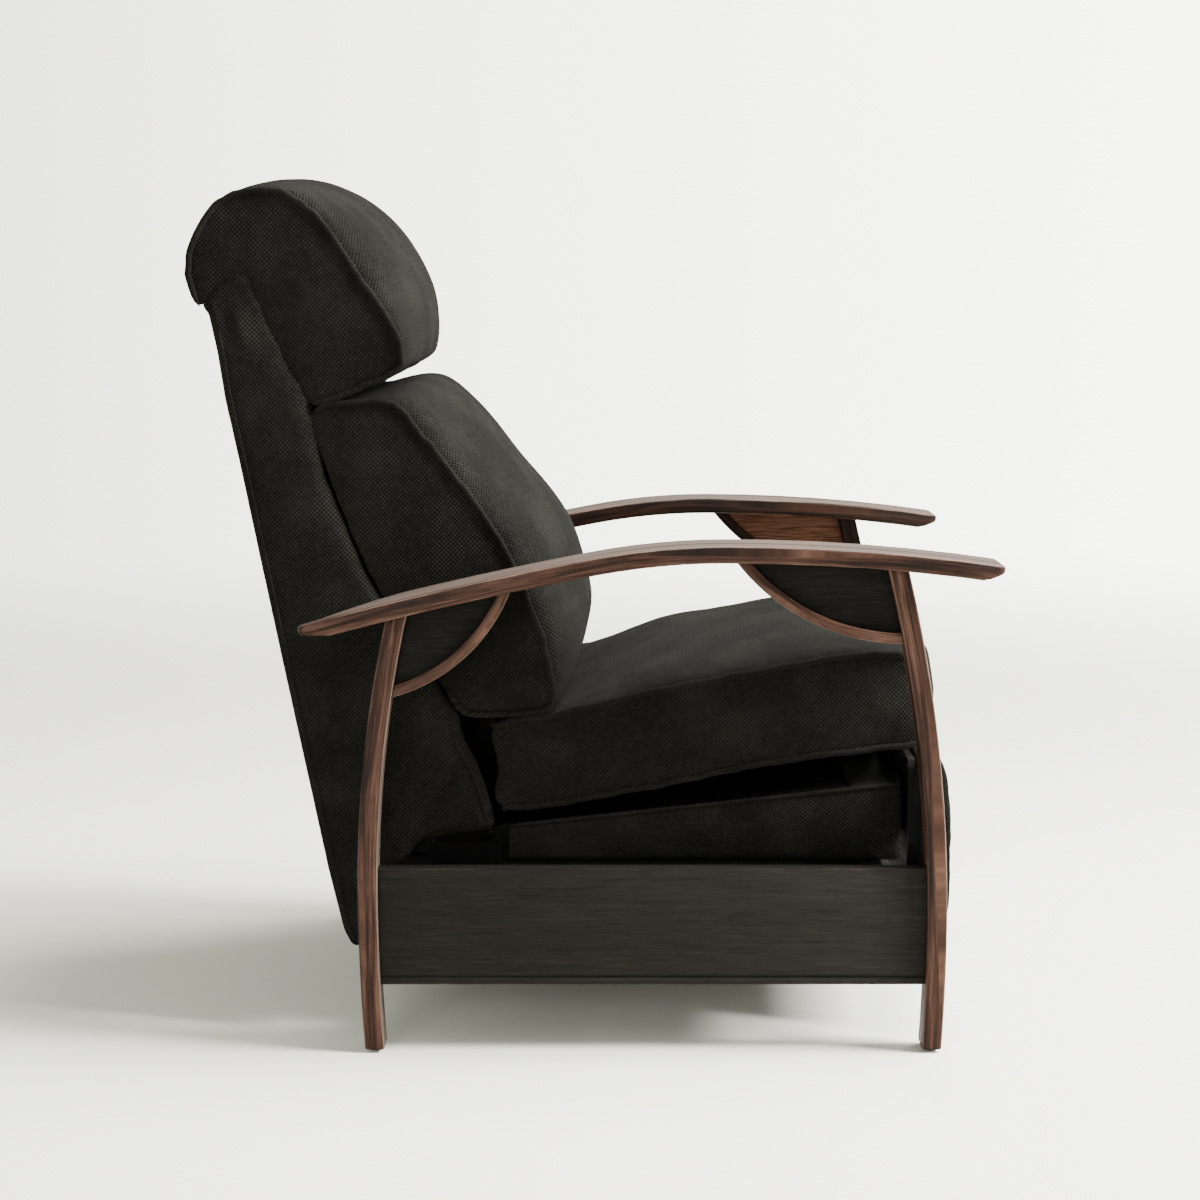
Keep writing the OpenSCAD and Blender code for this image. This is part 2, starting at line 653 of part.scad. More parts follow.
module seat_rail() {
  hole = rivet_r + rivet_gap;
  color(steel) difference() {
    union() {
      block([seat_flange_rear_f, seat_rail_low], [seat_flange_front_f, seat_rail_top],
        seat_flange_x - plate_t, seat_flange_x);
      block([top_flange_rear_f, seat_rail_top - plate_t], [seat_flange_front_f, seat_rail_top],
        seat_box_half - box_t, seat_flange_x);
      block([seat_flange_front_f - overrun, seat_rail_top - plate_t], [hanger_front_f, seat_rail_top],
        seat_box_half - box_t, hanger_x);
      block([hanger_rear_f, hanger_low], [hanger_front_f, seat_rail_top], hanger_x - plate_t, hanger_x);
    }
    for (place = [rear_top_pivot, front_top_pivot, back_hinge])
      rod(place, hole, seat_flange_x - plate_t - overrun / 2, seat_flange_x + overrun);
    for (place = [drive_pivot, guide_pivot])
      rod(place, hole, hanger_x - plate_t - overrun, hanger_x + overrun / 2);
  }
}

module seat_box_side() {
  x_in = seat_box_half - box_t;
  color(pale_wood)
    across([[box_rear_f, seat_rail_top], [box_front_f, seat_rail_top], [box_front_f, box_front_top],
      [box_rear_f, box_rear_top]], x_in, seat_box_half);
}

module seat_box_cross_rails() {
  x = seat_box_half - box_t;
  color(pale_wood) {
    across([[box_rear_f, seat_rail_top], [box_rear_f + box_t, seat_rail_top],
      [box_rear_f + box_t, box_top(box_rear_f + box_t)],
      [box_rear_f, box_rear_top]], -x, x);
    across([[box_front_f - box_t, seat_rail_top], [box_front_f, seat_rail_top],
      [box_front_f, box_front_top],
      [box_front_f - box_t, box_top(box_front_f - box_t)]], -x, x);
  }
}

// One zigzag spring, drawn flat: the run goes along +x
module zigzag(run) {
  n = floor(run / spring_pitch / 2) * 2;
  step = run / n;
  points = [for (i = [0 : n]) [i * step, i == 0 || i == n ? 0 : (i % 2 == 0 ? -1 : 1) * spring_half]];
  upper = [for (p = points) p + [0, spring_wire * wire_share]];
  lower = backwards([for (p = points) p - [0, spring_wire * wire_share]]);
  linear_extrude(spring_wire) polygon(concat(upper, lower));
}

module seat_springs() {
  run = (box_front_f - box_rear_f) / cos(spring_slope);
  gap = 2 * (seat_box_half - box_t - spring_half - 2 * spring_wire) / (spring_n - 1);
  color(bright_steel) for (i = [0 : spring_n - 1])
    translate([(i - (spring_n - 1) / 2) * gap, -box_rear_f, box_rear_top])
      rotate([-spring_slope, 0, 0]) rotate([0, 0, -90]) zigzag(run);
}

module seat_borders() {
  top_gap = touch_gap;
  low = seat_rail_top + touch_gap;
  rear_top = box_top(border_rear_f) - top_gap;
  front_top = box_top(border_front_f) - top_gap;
  color(fabric) {
    for (side = [-1, 1]) on_side(side)
      across([[skirt_rear_f, low], [border_front_f, low], [border_front_f, front_top],
        [border_rear_f, rear_top],
        [skirt_rear_f, rear_top]], seat_box_half + touch_gap, soft_half);
    x = seat_box_half;
    across([[box_front_f + touch_gap, low], [border_front_f, low], [border_front_f, front_top],
      [box_front_f + touch_gap, front_top]], -x, x);
    across([[border_rear_f, low], [box_rear_f - touch_gap, low], [box_rear_f - touch_gap, rear_top],
      [border_rear_f, rear_top]], -x, x);
  }
}

deck_h = 60;
function deck_pt(s) =
  let (f = border_rear_f + (border_front_f - border_rear_f) * s[0])
  [f, box_top(f) + spring_wire + 2 * touch_gap + deck_h * s[1]];
function seat_pt(s) = [seat_rear_f + seat_d * s[0], seat_low + seat_rise * s[1]];
function pad_pt(s) = [board_f + board_t + touch_gap + pad_t * s[0], foot_low + pad_h * s[1]];

module seat_deck() {
  color(fabric) cushion([for (s = deck_side_shares) deck_pt(s)], [for (s = deck_mid_shares) deck_pt(s)],
    soft_half);
}

module seat_cushion() {
  color(fabric) cushion([for (s = seat_side_shares) seat_pt(s)], [for (s = seat_mid_shares) seat_pt(s)],
    soft_half);
}

module seat_rivets() {
  color(bright_steel) for (side = [-1, 1]) on_side(side) {
    for (place = [rear_top_pivot, front_top_pivot])
      stud_out(place, seat_flange_x - plate_t, swing_x);
    stud_in(back_hinge, ear_x - plate_t, seat_flange_x);
    stud_in(drive_pivot, drive_x - plate_t, hanger_x);
    stud_out(guide_pivot, hanger_x - plate_t, guide_x);
  }
}

// Back

back_outline = concat(back_pts(back_rear_shares), back_pts(back_tail_shares), back_pts(back_under_shares),
  back_pts(back_front_shares));
cover_path = concat(back_pts(back_rear_shares), back_pts(back_tail_shares), back_pts(back_under_shares));

// A list of points moved inward by d, square to the line through each point's neighbours
function inward(list, d) = [for (i = [0 : len(list) - 1])
  let (a = list[max(i - 1, 0)], b = list[min(i + 1, len(list) - 1)], v = (b - a) / norm(b - a))
  list[i] + d * [-v[1], v[0]]];

module back_side_panel() {
  color(fabric) across(back_outline, soft_half - side_panel_t, soft_half);
}

module back_outer_panel() {
  x = soft_half - side_panel_t - touch_gap;
  rear_inner = inward(back_pts(back_rear_shares), back_panel_t);
  under_inner = inward(back_pts(back_under_shares), back_panel_t);
  inner = concat([for (i = [0 : len(rear_inner) - 2]) rear_inner[i]], under_inner);
  color(fabric) difference() {
    across(concat(cover_path, backwards(inner)), -x, x);
    for (side = [-1, 1]) on_side(side)
      block([bracket_rear_f - touch_gap, bracket_tab_h - touch_gap],
        [back_hinge[0] + ear_r + touch_gap, bracket_tab_h + bracket_plate_h + touch_gap], stile_x,
          x + overrun);
  }
}

stile_rear = [for (i = [0 : 12]) let (z = back_low + (back_top - back_low) * (stile_top_share
  - (stile_top_share - stile_low_share) * i / 12)) [rear_line_f(z) + (back_panel_t + touch_gap) *
    cover_lean, z]];
function rear_line_f(z, i = 0) =
  let (a = back_pt(back_rear_shares[i]), b = back_pt(back_rear_shares[i + 1]))
  z >= b[1] || i >= len(back_rear_shares) - 2 ? a[0] + (b[0] - a[0]) * (z - a[1]) / (b[1] - a[1]) :
    rear_line_f(z, i + 1);

module back_stile() {
  color(pale_wood)
    across(concat(stile_rear, backwards([for (p = stile_rear) [p[0] + stile_d, p[1]]])),
      stile_x - stile_t, stile_x);
}

module cross_piece(z) {
  f = rear_line_f(z) + (back_panel_t + touch_gap) * cover_lean;
  f_top = rear_line_f(z + cross_h) + (back_panel_t + touch_gap) * cover_lean;
  across([[f, z], [f + stile_d / 2, z], [f_top + stile_d / 2, z + cross_h], [f_top, z + cross_h]],
    -(stile_x - stile_t), stile_x - stile_t);
}

module back_cross_rails() {
  span = back_top - back_low;
  color(pale_wood) {
    cross_piece(back_low + span * stile_top_share - cross_h);
    cross_piece(back_low + span * (stile_top_share + stile_low_share) / 2);
    cross_piece(back_low + span * stile_low_share + cross_h);
  }
}

module back_webbing() {
  span = back_top - back_low;
  color(web) for (s = web_shares) {
    z = back_low + span * s;
    f = rear_line_f(z) + (back_panel_t + touch_gap) * cover_lean + stile_d + touch_gap;
    f_top = rear_line_f(z + web_w) + (back_panel_t + touch_gap) * cover_lean + stile_d + touch_gap;
    across([[f, z], [f + web_t, z], [f_top + web_t, z + web_w], [f_top, z + web_w]], -stile_x, stile_x);
  }
}

module head_cushion() {
  color(fabric) cushion(back_pts(head_side_shares), back_pts(head_mid_shares), soft_half);
}

module lumbar_cushion() {
  color(fabric) cushion(back_pts(lumbar_side_shares), back_pts(lumbar_mid_shares), soft_half);
}

// Steel bracket: an ear on the hinge, a tab under the cover and a plate on the stile
ear_r = 16;
bracket_tab_h = 226;
bracket_plate_h = 64;
bracket_rear_f = stile_rear[len(stile_rear) - 1][0];
module back_bracket() {
  plate_x = stile_x + touch_gap;
  ear_lo = ear_x - plate_t;
  tab_top = bracket_tab_h + plate_t;
  front_f = back_hinge[0] + ear_r;
  color(steel) difference() {
    union() {
      rod(back_hinge, ear_r, ear_lo, ear_x);
      block([back_hinge[0] - ear_r, back_hinge[1]], [front_f, tab_top], ear_lo, ear_x);
      block([back_hinge[0] - ear_r, bracket_tab_h], [front_f, tab_top], plate_x, ear_x);
      block([bracket_rear_f, bracket_tab_h], [front_f, bracket_tab_h + bracket_plate_h], plate_x,
        plate_x + plate_t);
    }
    rod(back_hinge, rivet_r + rivet_gap, ear_lo - overrun, ear_x + overrun);
  }
}

// Footrest

// A rivet that is part of a link, with its head past the outer or the inner end
module stud_out(place, x_in, x_out) {
  rod(place, rivet_r, x_in, x_out + plate_gap);
  rod(place, head_r, x_out + plate_gap, x_out + plate_gap + head_t);
}

module stud_in(place, x_in, x_out) {
  rod(place, rivet_r, x_in - plate_gap, x_out);
  rod(place, head_r, x_in - plate_gap - head_t, x_in - plate_gap);
}

module footrest_drive_link() {
  hole = rivet_r + rivet_gap;
  color(steel) {
    difference() {
      union() {
        strap(drive_pivot, knee, link_r, drive_x - plate_t, drive_x);
        strap(knee, tilt_knee, lug_r, drive_x - plate_t, drive_x);
      }
      rod(drive_pivot, hole, drive_x - plate_t - overrun, drive_x + overrun);
    }
    stud_out(knee, drive_x - plate_t, main_x);
    stud_in(tilt_knee, tilt_x - plate_t, drive_x);
  }
}

module footrest_main_link() {
  hole = rivet_r + rivet_gap;
  color(steel) {
    difference() {
      union() {
        strap(knee, foot_pin, link_r, main_x - plate_t, main_x);
        strap(knee, guide_pin, lug_r, main_x - plate_t, main_x);
      }
      rod(knee, hole, main_x - plate_t - overrun, main_x + overrun);
    }
    stud_out(guide_pin, main_x - plate_t, guide_x);
    stud_in(foot_pin, foot_web_x - plate_t, main_x);
  }
}

module footrest_guide_link() {
  color(steel) flat_link(guide_pivot, guide_pin, guide_x, rivet_r + rivet_gap, rivet_r + guide_slack);
}

module footrest_tilt_link() {
  color(steel) flat_link(tilt_knee, tilt_pin, tilt_x, rivet_r + rivet_gap, rivet_r + tilt_slack, lug_r);
}

module footrest_bracket() {
  lo = foot_web_x - plate_t;
  color(steel) {
    difference() {
      union() {
        strap(foot_pin, tilt_pin, link_r, lo, foot_web_x);
        block([foot_flange_f, foot_flange_low], [foot_web_front, foot_flange_top], lo, foot_web_x);
        strap([foot_web_front, foot_pin[1]], foot_pin, link_r, lo, foot_web_x);
        block([foot_flange_f, foot_flange_low], [foot_flange_f + plate_t, foot_flange_top],
          foot_flange_in, foot_web_x);
      }
      rod(foot_pin, rivet_r + rivet_gap, lo - overrun, foot_web_x + overrun);
    }
    stud_out(tilt_pin, lo, tilt_x);
  }
}

module footrest_board() {
  edge = board_edge;
  x = soft_half - edge;
  color(felt) block([board_f, foot_low + edge], [board_f + board_t, foot_low + pad_h - edge], -x, x);
}

module footrest_pad() {
  color(fabric) cushion([for (s = pad_side_shares) pad_pt(s)], [for (s = pad_mid_shares) pad_pt(s)],
    soft_half);
}

on_side(1) arm();  // arm_left
on_side(-1) arm();  // arm_right
on_side(1) leg(front_leg_path);  // front_leg_left
on_side(-1) leg(front_leg_path);  // front_leg_right
on_side(1) leg(rear_leg_path);  // rear_leg_left
on_side(-1) leg(rear_leg_path);  // rear_leg_right
on_side(1) bracket_rim(true);  // front_bracket_rim_left
on_side(-1) bracket_rim(true);  // front_bracket_rim_right
on_side(1) bracket_panel(true);  // front_bracket_panel_left
on_side(-1) bracket_panel(true);  // front_bracket_panel_right
on_side(1) bracket_rim(false);  // rear_bracket_rim_left
on_side(-1) bracket_rim(false);  // rear_bracket_rim_right
on_side(1) bracket_panel(false);  // rear_bracket_panel_left
on_side(-1) bracket_panel(false);  // rear_bracket_panel_right
on_side(1) side_rail();  // side_rail_left
on_side(-1) side_rail();  // side_rail_right
stretcher(front_stretcher_f);  // front_stretcher
stretcher(rear_stretcher_f);  // rear_stretcher
leg_glides();
base_bolts();
on_side(1) mechanism_base();  // mechanism_base_left
on_side(-1) mechanism_base();  // mechanism_base_right
base_rivets();
on_side(1) swing_link(rear_pivot_f, rear_top_pivot);  // rear_swing_link_left
on_side(-1) swing_link(rear_pivot_f,  // rear_swing_link_right
  rear_top_pivot);
on_side(1) swing_link(front_pivot_f,  // front_swing_link_left
  front_top_pivot);
on_side(-1) swing_link(front_pivot_f,  // front_swing_link_right
  front_top_pivot);
on_side(1) seat_rail();  // seat_rail_left
on_side(-1) seat_rail();  // seat_rail_right
on_side(1) seat_box_side();  // seat_box_side_left
on_side(-1) seat_box_side();  // seat_box_side_right
seat_box_cross_rails();
seat_springs();
seat_borders();
seat_deck();
seat_cushion();
seat_rivets();
on_side(1) back_bracket();  // back_bracket_left
on_side(-1) back_bracket();  // back_bracket_right
on_side(1) back_stile();  // back_stile_left
on_side(-1) back_stile();  // back_stile_right
back_cross_rails();
back_webbing();
back_outer_panel();
on_side(1) back_side_panel();  // back_side_panel_left
on_side(-1) back_side_panel();  // back_side_panel_right
head_cushion();
lumbar_cushion();
on_side(1) footrest_drive_link();  // footrest_drive_link_left
on_side(-1) footrest_drive_link();  // footrest_drive_link_right
on_side(1) footrest_main_link();  // footrest_main_link_left
on_side(-1) footrest_main_link();  // footrest_main_link_right
on_side(1) footrest_guide_link();  // footrest_guide_link_left
on_side(-1) footrest_guide_link();  // footrest_guide_link_right
on_side(1) footrest_tilt_link();  // footrest_tilt_link_left
on_side(-1) footrest_tilt_link();  // footrest_tilt_link_right
on_side(1) footrest_bracket();  // footrest_bracket_left
on_side(-1) footrest_bracket();  // footrest_bracket_right
footrest_board();
footrest_pad();
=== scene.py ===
"""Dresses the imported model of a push-back recliner: cushions, wood, steel, floor, light and camera.

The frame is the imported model: +X is the sitter's left, the front faces -Y, +Z is up, all in metres.
Profiles are written as [forward, up] points, so a forward place f lies at y = -f.
"""

from __future__ import annotations

import logging  # noqa: E402
import math  # noqa: E402
from dataclasses import dataclass, field, replace  # noqa: E402
from enum import Enum  # noqa: E402
from typing import Callable, Iterable, Sequence  # noqa: E402

import bpy  # noqa: E402
import numpy as np  # noqa: E402
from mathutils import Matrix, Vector, geometry, noise  # noqa: E402


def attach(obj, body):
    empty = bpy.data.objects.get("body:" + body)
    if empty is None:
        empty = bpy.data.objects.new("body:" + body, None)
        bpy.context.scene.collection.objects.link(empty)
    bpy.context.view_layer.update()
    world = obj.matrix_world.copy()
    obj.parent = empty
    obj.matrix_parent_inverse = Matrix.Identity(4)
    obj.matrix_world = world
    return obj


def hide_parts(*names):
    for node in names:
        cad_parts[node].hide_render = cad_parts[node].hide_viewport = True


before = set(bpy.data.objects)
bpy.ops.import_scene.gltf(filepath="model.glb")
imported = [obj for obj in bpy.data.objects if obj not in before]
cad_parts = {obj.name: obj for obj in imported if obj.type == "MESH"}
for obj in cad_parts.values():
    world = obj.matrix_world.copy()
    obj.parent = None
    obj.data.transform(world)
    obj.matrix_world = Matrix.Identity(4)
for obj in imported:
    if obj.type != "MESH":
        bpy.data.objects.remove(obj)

log = logging.getLogger("recliner")
Pair = tuple[float, float]
Colour = tuple[float, float, float]
Place = tuple[float, float, float]
MM = 0.001
JOIN_GAP = 0.00001
WEAVE = "weave"
GRAIN = "grain"
SECTION = "section"
SEAM_AWAY = "seam_away"
SEAM_STEP = 0.007
DOME_REACH = 0.03


class Source(Enum):
    """Where a material reads its pattern from."""

    WEAVE_MAP = "the piece's own weave map"
    GRAIN_MAP = "the piece's own grain attribute"
    ALONG_Y = "object space, grain from front to back"
    ALONG_X = "object space, grain across the chair"


# ---------------------------------------------------------------- meshes


def select_only(obj: bpy.types.Object) -> None:
    """Makes obj the only selected object, and the active one.

    Args:
        obj: The object to select.
    """
    bpy.ops.object.select_all(action="DESELECT")
    obj.select_set(True)
    bpy.context.view_layer.objects.active = obj


def close_up(obj: bpy.types.Object, merge: bool = True) -> None:
    """Turns every face of a closed shell outwards, and merges doubled points first.

    Args:
        obj: The object to mend.
        merge: Makes one point of those that lie closer than JOIN_GAP.
    """
    select_only(obj)
    bpy.ops.object.mode_set(mode="EDIT")
    bpy.ops.mesh.select_all(action="SELECT")
    if merge:
        bpy.ops.mesh.remove_doubles(threshold=JOIN_GAP)
    bpy.ops.mesh.normals_make_consistent(inside=False)
    bpy.ops.object.mode_set(mode="OBJECT")


def read_rows(items: bpy.types.bpy_prop_collection, key: str) -> np.ndarray:
    """Reads three numbers from each item, as rows."""
    flat = np.zeros(len(items) * 3, np.float32)
    items.foreach_get(key, flat)
    return flat.reshape(-1, 3).astype(float)


def points_of(obj: bpy.types.Object) -> np.ndarray:
    """The object's points as rows of x, y, z."""
    return read_rows(obj.data.vertices, "co")


def set_points(obj: bpy.types.Object, points: np.ndarray) -> None:
    """Writes the object's points back."""
    obj.data.vertices.foreach_set("co", points.astype(np.float32).ravel())
    obj.data.update()


def normals_of(obj: bpy.types.Object) -> np.ndarray:
    """The normal at each point of the object."""
    return read_rows(obj.data.vertex_normals, "vector")


def add_mesh(
    name: str,
    points: np.ndarray,
    faces: list[list[int]],
    maps: list[list[Pair]] | None = None,
) -> bpy.types.Object:
    """Makes an object from points and faces, with a weave map where one is given.

    Args:
        name: The piece's name.
        points: Rows of x, y, z in metres.
        faces: Point numbers of each face.
        maps: For each face, the weave map's place at each corner, in metres.

    Returns:
        The new object, linked to the scene.
    """
    mesh = bpy.data.meshes.new(name)
    mesh.from_pydata([tuple(p) for p in points], [], faces)
    if maps is not None:
        layer = mesh.uv_layers.new(name=WEAVE)
        flat = [c for face in maps for uv in face for c in uv]
        layer.data.foreach_set("uv", flat)
    mesh.update()
    obj = bpy.data.objects.new(name, mesh)
    bpy.context.scene.collection.objects.link(obj)
    select_only(obj)
    return obj


def apply_all(obj: bpy.types.Object) -> None:
    """Applies the object's modifiers, in order."""
    select_only(obj)
    for modifier in list(obj.modifiers):
        bpy.ops.object.modifier_apply(modifier=modifier.name)


def subdivide_smooth(obj: bpy.types.Object) -> None:
    """Divides each face once with a subdivision surface and applies it."""
    modifier = obj.modifiers.new("roundness", "SUBSURF")
    modifier.levels = modifier.render_levels = 1
    apply_all(obj)


def shade_smooth(obj: bpy.types.Object, angle: float = 180.0) -> None:
    """Shades the object smooth across edges that turn less than angle degrees.

    Args:
        obj: The object.
        angle: Sharper edges than this stay sharp.
    """
    select_only(obj)
    if angle >= 180:
        bpy.ops.object.shade_smooth()
    else:
        bpy.ops.object.shade_smooth_by_angle(angle=math.radians(angle))


def write_vectors(obj: bpy.types.Object, name: str, rows: np.ndarray) -> None:
    """Keeps three numbers at each point of the object.

    Args:
        obj: The object.
        name: The attribute's name.
        rows: One row of three numbers for each point.
    """
    attribute = obj.data.attributes.new(name, "FLOAT_VECTOR", "POINT")
    attribute.data.foreach_set("vector", rows.astype(np.float32).ravel())


def write_numbers(obj: bpy.types.Object, name: str, values: np.ndarray) -> None:
    """Keeps one number at each point of the object."""
    attribute = obj.data.attributes.new(name, "FLOAT", "POINT")
    attribute.data.foreach_set("value", values.astype(np.float32))


def read_numbers(obj: bpy.types.Object, name: str) -> np.ndarray:
    """Reads the number kept at each point, and drops the attribute."""
    attribute = obj.data.attributes[name]
    values = np.zeros(len(obj.data.vertices), np.float32)
    attribute.data.foreach_get("value", values)
    obj.data.attributes.remove(attribute)
    return values.astype(float)


def running_length(points: np.ndarray, closed: bool = False) -> np.ndarray:
    """Length along a line of points, from its first point to each of the others.

    Args:
        points: The line's points.
        closed: Adds the way back to the first point.

    Returns:
        One length for each point, and the whole length last where closed.
    """
    line = np.vstack([points, points[:1]]) if closed else points
    steps = np.linalg.norm(np.diff(line, axis=0), axis=1)
    return np.concatenate([[0.0], np.cumsum(steps)])


def resample(points: np.ndarray, step: float, closed: bool = False) -> np.ndarray:
    """Spaces a line's points evenly.

    Args:
        points: The line's points.
        step: About how far apart the new points lie.
        closed: The line comes back to its first point.

    Returns:
        The new points.
    """
    line = np.vstack([points, points[:1]]) if closed else points
    run = running_length(line)
    count = max(3, int(round(run[-1] / step)))
    wanted = np.linspace(0, run[-1], count + 1)
    if closed:
        wanted = wanted[:-1]
    return np.stack([np.interp(wanted, run, line[:, k]) for k in range(line.shape[1])], 1)


def leftward(line: np.ndarray) -> np.ndarray:
    """The unit direction to the left of a flat line, at each of its points."""
    ahead = np.gradient(line, axis=0)
    ahead /= np.linalg.norm(ahead, axis=1)[:, None]
    return np.column_stack([-ahead[:, 1], ahead[:, 0]])


def stand(across: float | np.ndarray, places: np.ndarray) -> np.ndarray:
    """Rows of x, y, z for [forward, up] places that stand at one x, or at one each."""
    return np.column_stack([np.broadcast_to(across, len(places)), -places[:, 0], places[:, 1]])


def smooth_line(points: np.ndarray, counts: Sequence[int], closed: bool) -> np.ndarray:
    """A curve through control points, with counts[i] points on its i-th stretch.

    Args:
        points: The control points.
        counts: Points on each stretch.
        closed: The curve comes back to its first point.

    Returns:
        The curve's points.
    """
    n = len(points)
    made: list[np.ndarray] = []
    for i, count in enumerate(counts):
        at = [i - 1, i, i + 1, i + 2]
        a, b, c, d = (
            points[k % n] if closed else points[min(max(k, 0), n - 1)] for k in at
        )
        for j in range(count):
            t = j / count
            bend = (2 * a - 5 * b + 4 * c - d) * t * t
            made.append((2 * b + (c - a) * t + bend + (3 * b - a - 3 * c + d) * t**3) / 2)
    if not closed:
        made.append(points[-1])
    return np.array(made)


def loft(
    rings: np.ndarray, loop: bool = False, caps: bool = True
) -> tuple[np.ndarray, list[list[int]], list[list[Pair]]]:
    """Joins rings of equal length into a skin with a weave map in metres.

    Args:
        rings: Rings by points by x, y, z.
        loop: The last ring joins the first again.
        caps: Closes the two ends with a face each.

    Returns:
        Points, faces and the weave map.
    """
    m, n = rings.shape[:2]
    across = np.zeros((m + 1, n))
    closed_rings = np.concatenate([rings, rings[:1]], 0)
    across[1:] = np.cumsum(np.linalg.norm(np.diff(closed_rings, axis=0), axis=2), axis=0)
    across -= across[m // 2]
    around = running_length(rings[m // 2], closed=True)
    faces: list[list[int]] = []
    maps: list[list[Pair]] = []
    for k in range(m if loop else m - 1):
        k2 = (k + 1) % m
        for i in range(n):
            i2 = (i + 1) % n
            faces.append([k * n + i, k * n + i2, k2 * n + i2, k2 * n + i])
            corners = [(k, i, i), (k, i2, i + 1), (k + 1, i2, i + 1), (k + 1, i, i)]
            maps.append([(across[row, at], around[far]) for row, at, far in corners])
    if caps and not loop:
        for k in (0, m - 1):
            ids = [k * n + i for i in range(n)]
            faces.append(ids if k else ids[::-1])
            flat = [(float(rings[k, i % n, 1]), float(rings[k, i % n, 2])) for i in range(n)]
            maps.append(flat if k else flat[::-1])
    return rings.reshape(-1, 3), faces, maps


def tube(
    name: str, path: np.ndarray, radius: float, closed: bool, sides: int
) -> bpy.types.Object:
    """A round tube along a path, for a welt or a seam ridge. An open one tapers at its ends.

    Args:
        name: The piece's name.
        path: The points that its middle follows.
        radius: Half its thickness.
        closed: The path comes back to its first point.
        sides: Points round the tube.

    Returns:
        The tube.
    """
    ahead = np.roll(path, -1, 0) - np.roll(path, 1, 0)
    if not closed:
        ahead[0] = path[1] - path[0]
        ahead[-1] = path[-1] - path[-2]
    ahead /= np.linalg.norm(ahead, axis=1)[:, None]
    side = np.array([1.0, 0.0, 0.0]) if abs(ahead[0][0]) < 0.9 else np.array([0, 0, 1.0])
    sides_at: list[np.ndarray] = []
    for direction in ahead:
        side = side - direction * (side @ direction)
        side = side / np.linalg.norm(side)
        sides_at.append(side)
    s = np.array(sides_at)
    if closed:
        last, first = s[-1], s[0]
        turn = math.atan2(np.cross(last, first) @ ahead[0], last @ first)
        angles = np.linspace(0, turn, len(path))
        s = s * np.cos(angles)[:, None] + np.cross(ahead, s) * np.sin(angles)[:, None]
    u = np.cross(ahead, s)
    a = np.arange(sides) / sides * 2 * math.pi
    thick = np.full(len(path), radius)
    if not closed:
        run = running_length(path)
        taper, least = 0.016, 0.02
        thick *= np.clip(np.minimum(run, run[-1] - run) / taper, least, 1) ** 0.5
    rings = path[:, None, :] + thick[:, None, None] * (
        np.cos(a)[None, :, None] * s[:, None, :] + np.sin(a)[None, :, None] * u[:, None, :]
    )
    obj = add_mesh(name, *loft(rings, loop=closed))
    close_up(obj)
    shade_smooth(obj)
    return obj


def way_to(places: np.ndarray, a: np.ndarray, b: np.ndarray) -> np.ndarray:
    """How far each place lies from the straight stretch from a to b."""
    d = b - a
    t = np.clip(((places - a) @ d) / max(d @ d, 1e-12), 0, 1)
    return np.hypot(*(places - (a + t[:, None] * d)).T)


def depth_inside(places: np.ndarray, ring: np.ndarray) -> tuple[np.ndarray, np.ndarray]:
    """How far each place lies inside a closed ring, and where along the ring it is nearest.

    Args:
        places: Rows of forward, up.
        ring: The ring's points.

    Returns:
        One depth for each place, -1 outside, and the number of the nearest stretch.
    """
    ends = np.roll(ring, -1, 0)
    best = np.full(len(places), 1e9)
    near = np.zeros(len(places), int)
    crossings = np.zeros(len(places), int)
    for k, (a, b) in enumerate(zip(ring, ends)):
        d = b - a
        away = way_to(places, a, b)
        closer = away < best
        best[closer], near[closer] = away[closer], k
        spans = (a[1] > places[:, 1]) != (b[1] > places[:, 1])
        if abs(d[1]) > 1e-12:
            cut = a[0] + (places[:, 1] - a[1]) / d[1] * d[0]
            crossings += spans & (places[:, 0] < cut)
    return np.where(crossings % 2 == 1, best, -1.0), near


def line_distance(places: np.ndarray, line: np.ndarray) -> np.ndarray:
    """How far each place lies from an open line of points."""
    return np.min([way_to(places, a, b) for a, b in zip(line[:-1], line[1:])], axis=0)


def even_net(
    ring: np.ndarray, step: float, margin: float
) -> tuple[np.ndarray, list[list[int]], list[int]]:
    """Fills a flat ring with an even net of triangles.

    Args:
        ring: The ring's points, forward and up.
        step: About how far apart the net's points lie.
        margin: How far inside the ring the first of them lie.

    Returns:
        All the net's places, its triangles, and the net's number of each ring point.
    """
    n = len(ring)
    lo, hi = ring.min(0), ring.max(0)
    spots: list[Pair] = []
    for i, z in enumerate(np.arange(lo[1] + step / 2, hi[1], step * 0.87)):
        spots += [(f, z) for f in np.arange(lo[0] + (step / 2 if i % 2 else 0.0), hi[0], step)]
    inner = np.array(spots)
    inner = inner[depth_inside(inner, ring)[0] > margin]
    flat = [Vector(p) for p in np.vstack([ring, inner])]
    edges = [(i, (i + 1) % n) for i in range(n)]
    made, _, triangles, origin, _, _ = geometry.delaunay_2d_cdt(flat, edges, [], 1, 1e-6)
    rim = [0] * n
    for k, ids in enumerate(origin):
        for i in ids:
            if i < n:
                rim[i] = k
    return np.array([tuple(p) for p in made]), [list(t) for t in triangles], rim


def lumps(points: np.ndarray, size: float, seed: float) -> np.ndarray:
    """Soft random heights from -1 to 1, the same in each run.

    Args:
        points: Where to read them.
        size: About how far apart the lumps lie, in metres.
        seed: Moves the pattern.

    Returns:
        One height for each point.
    """
    shift = Vector((seed, seed * 1.7, -seed))
    return np.array([noise.noise(Vector(p) / size + shift) for p in points])


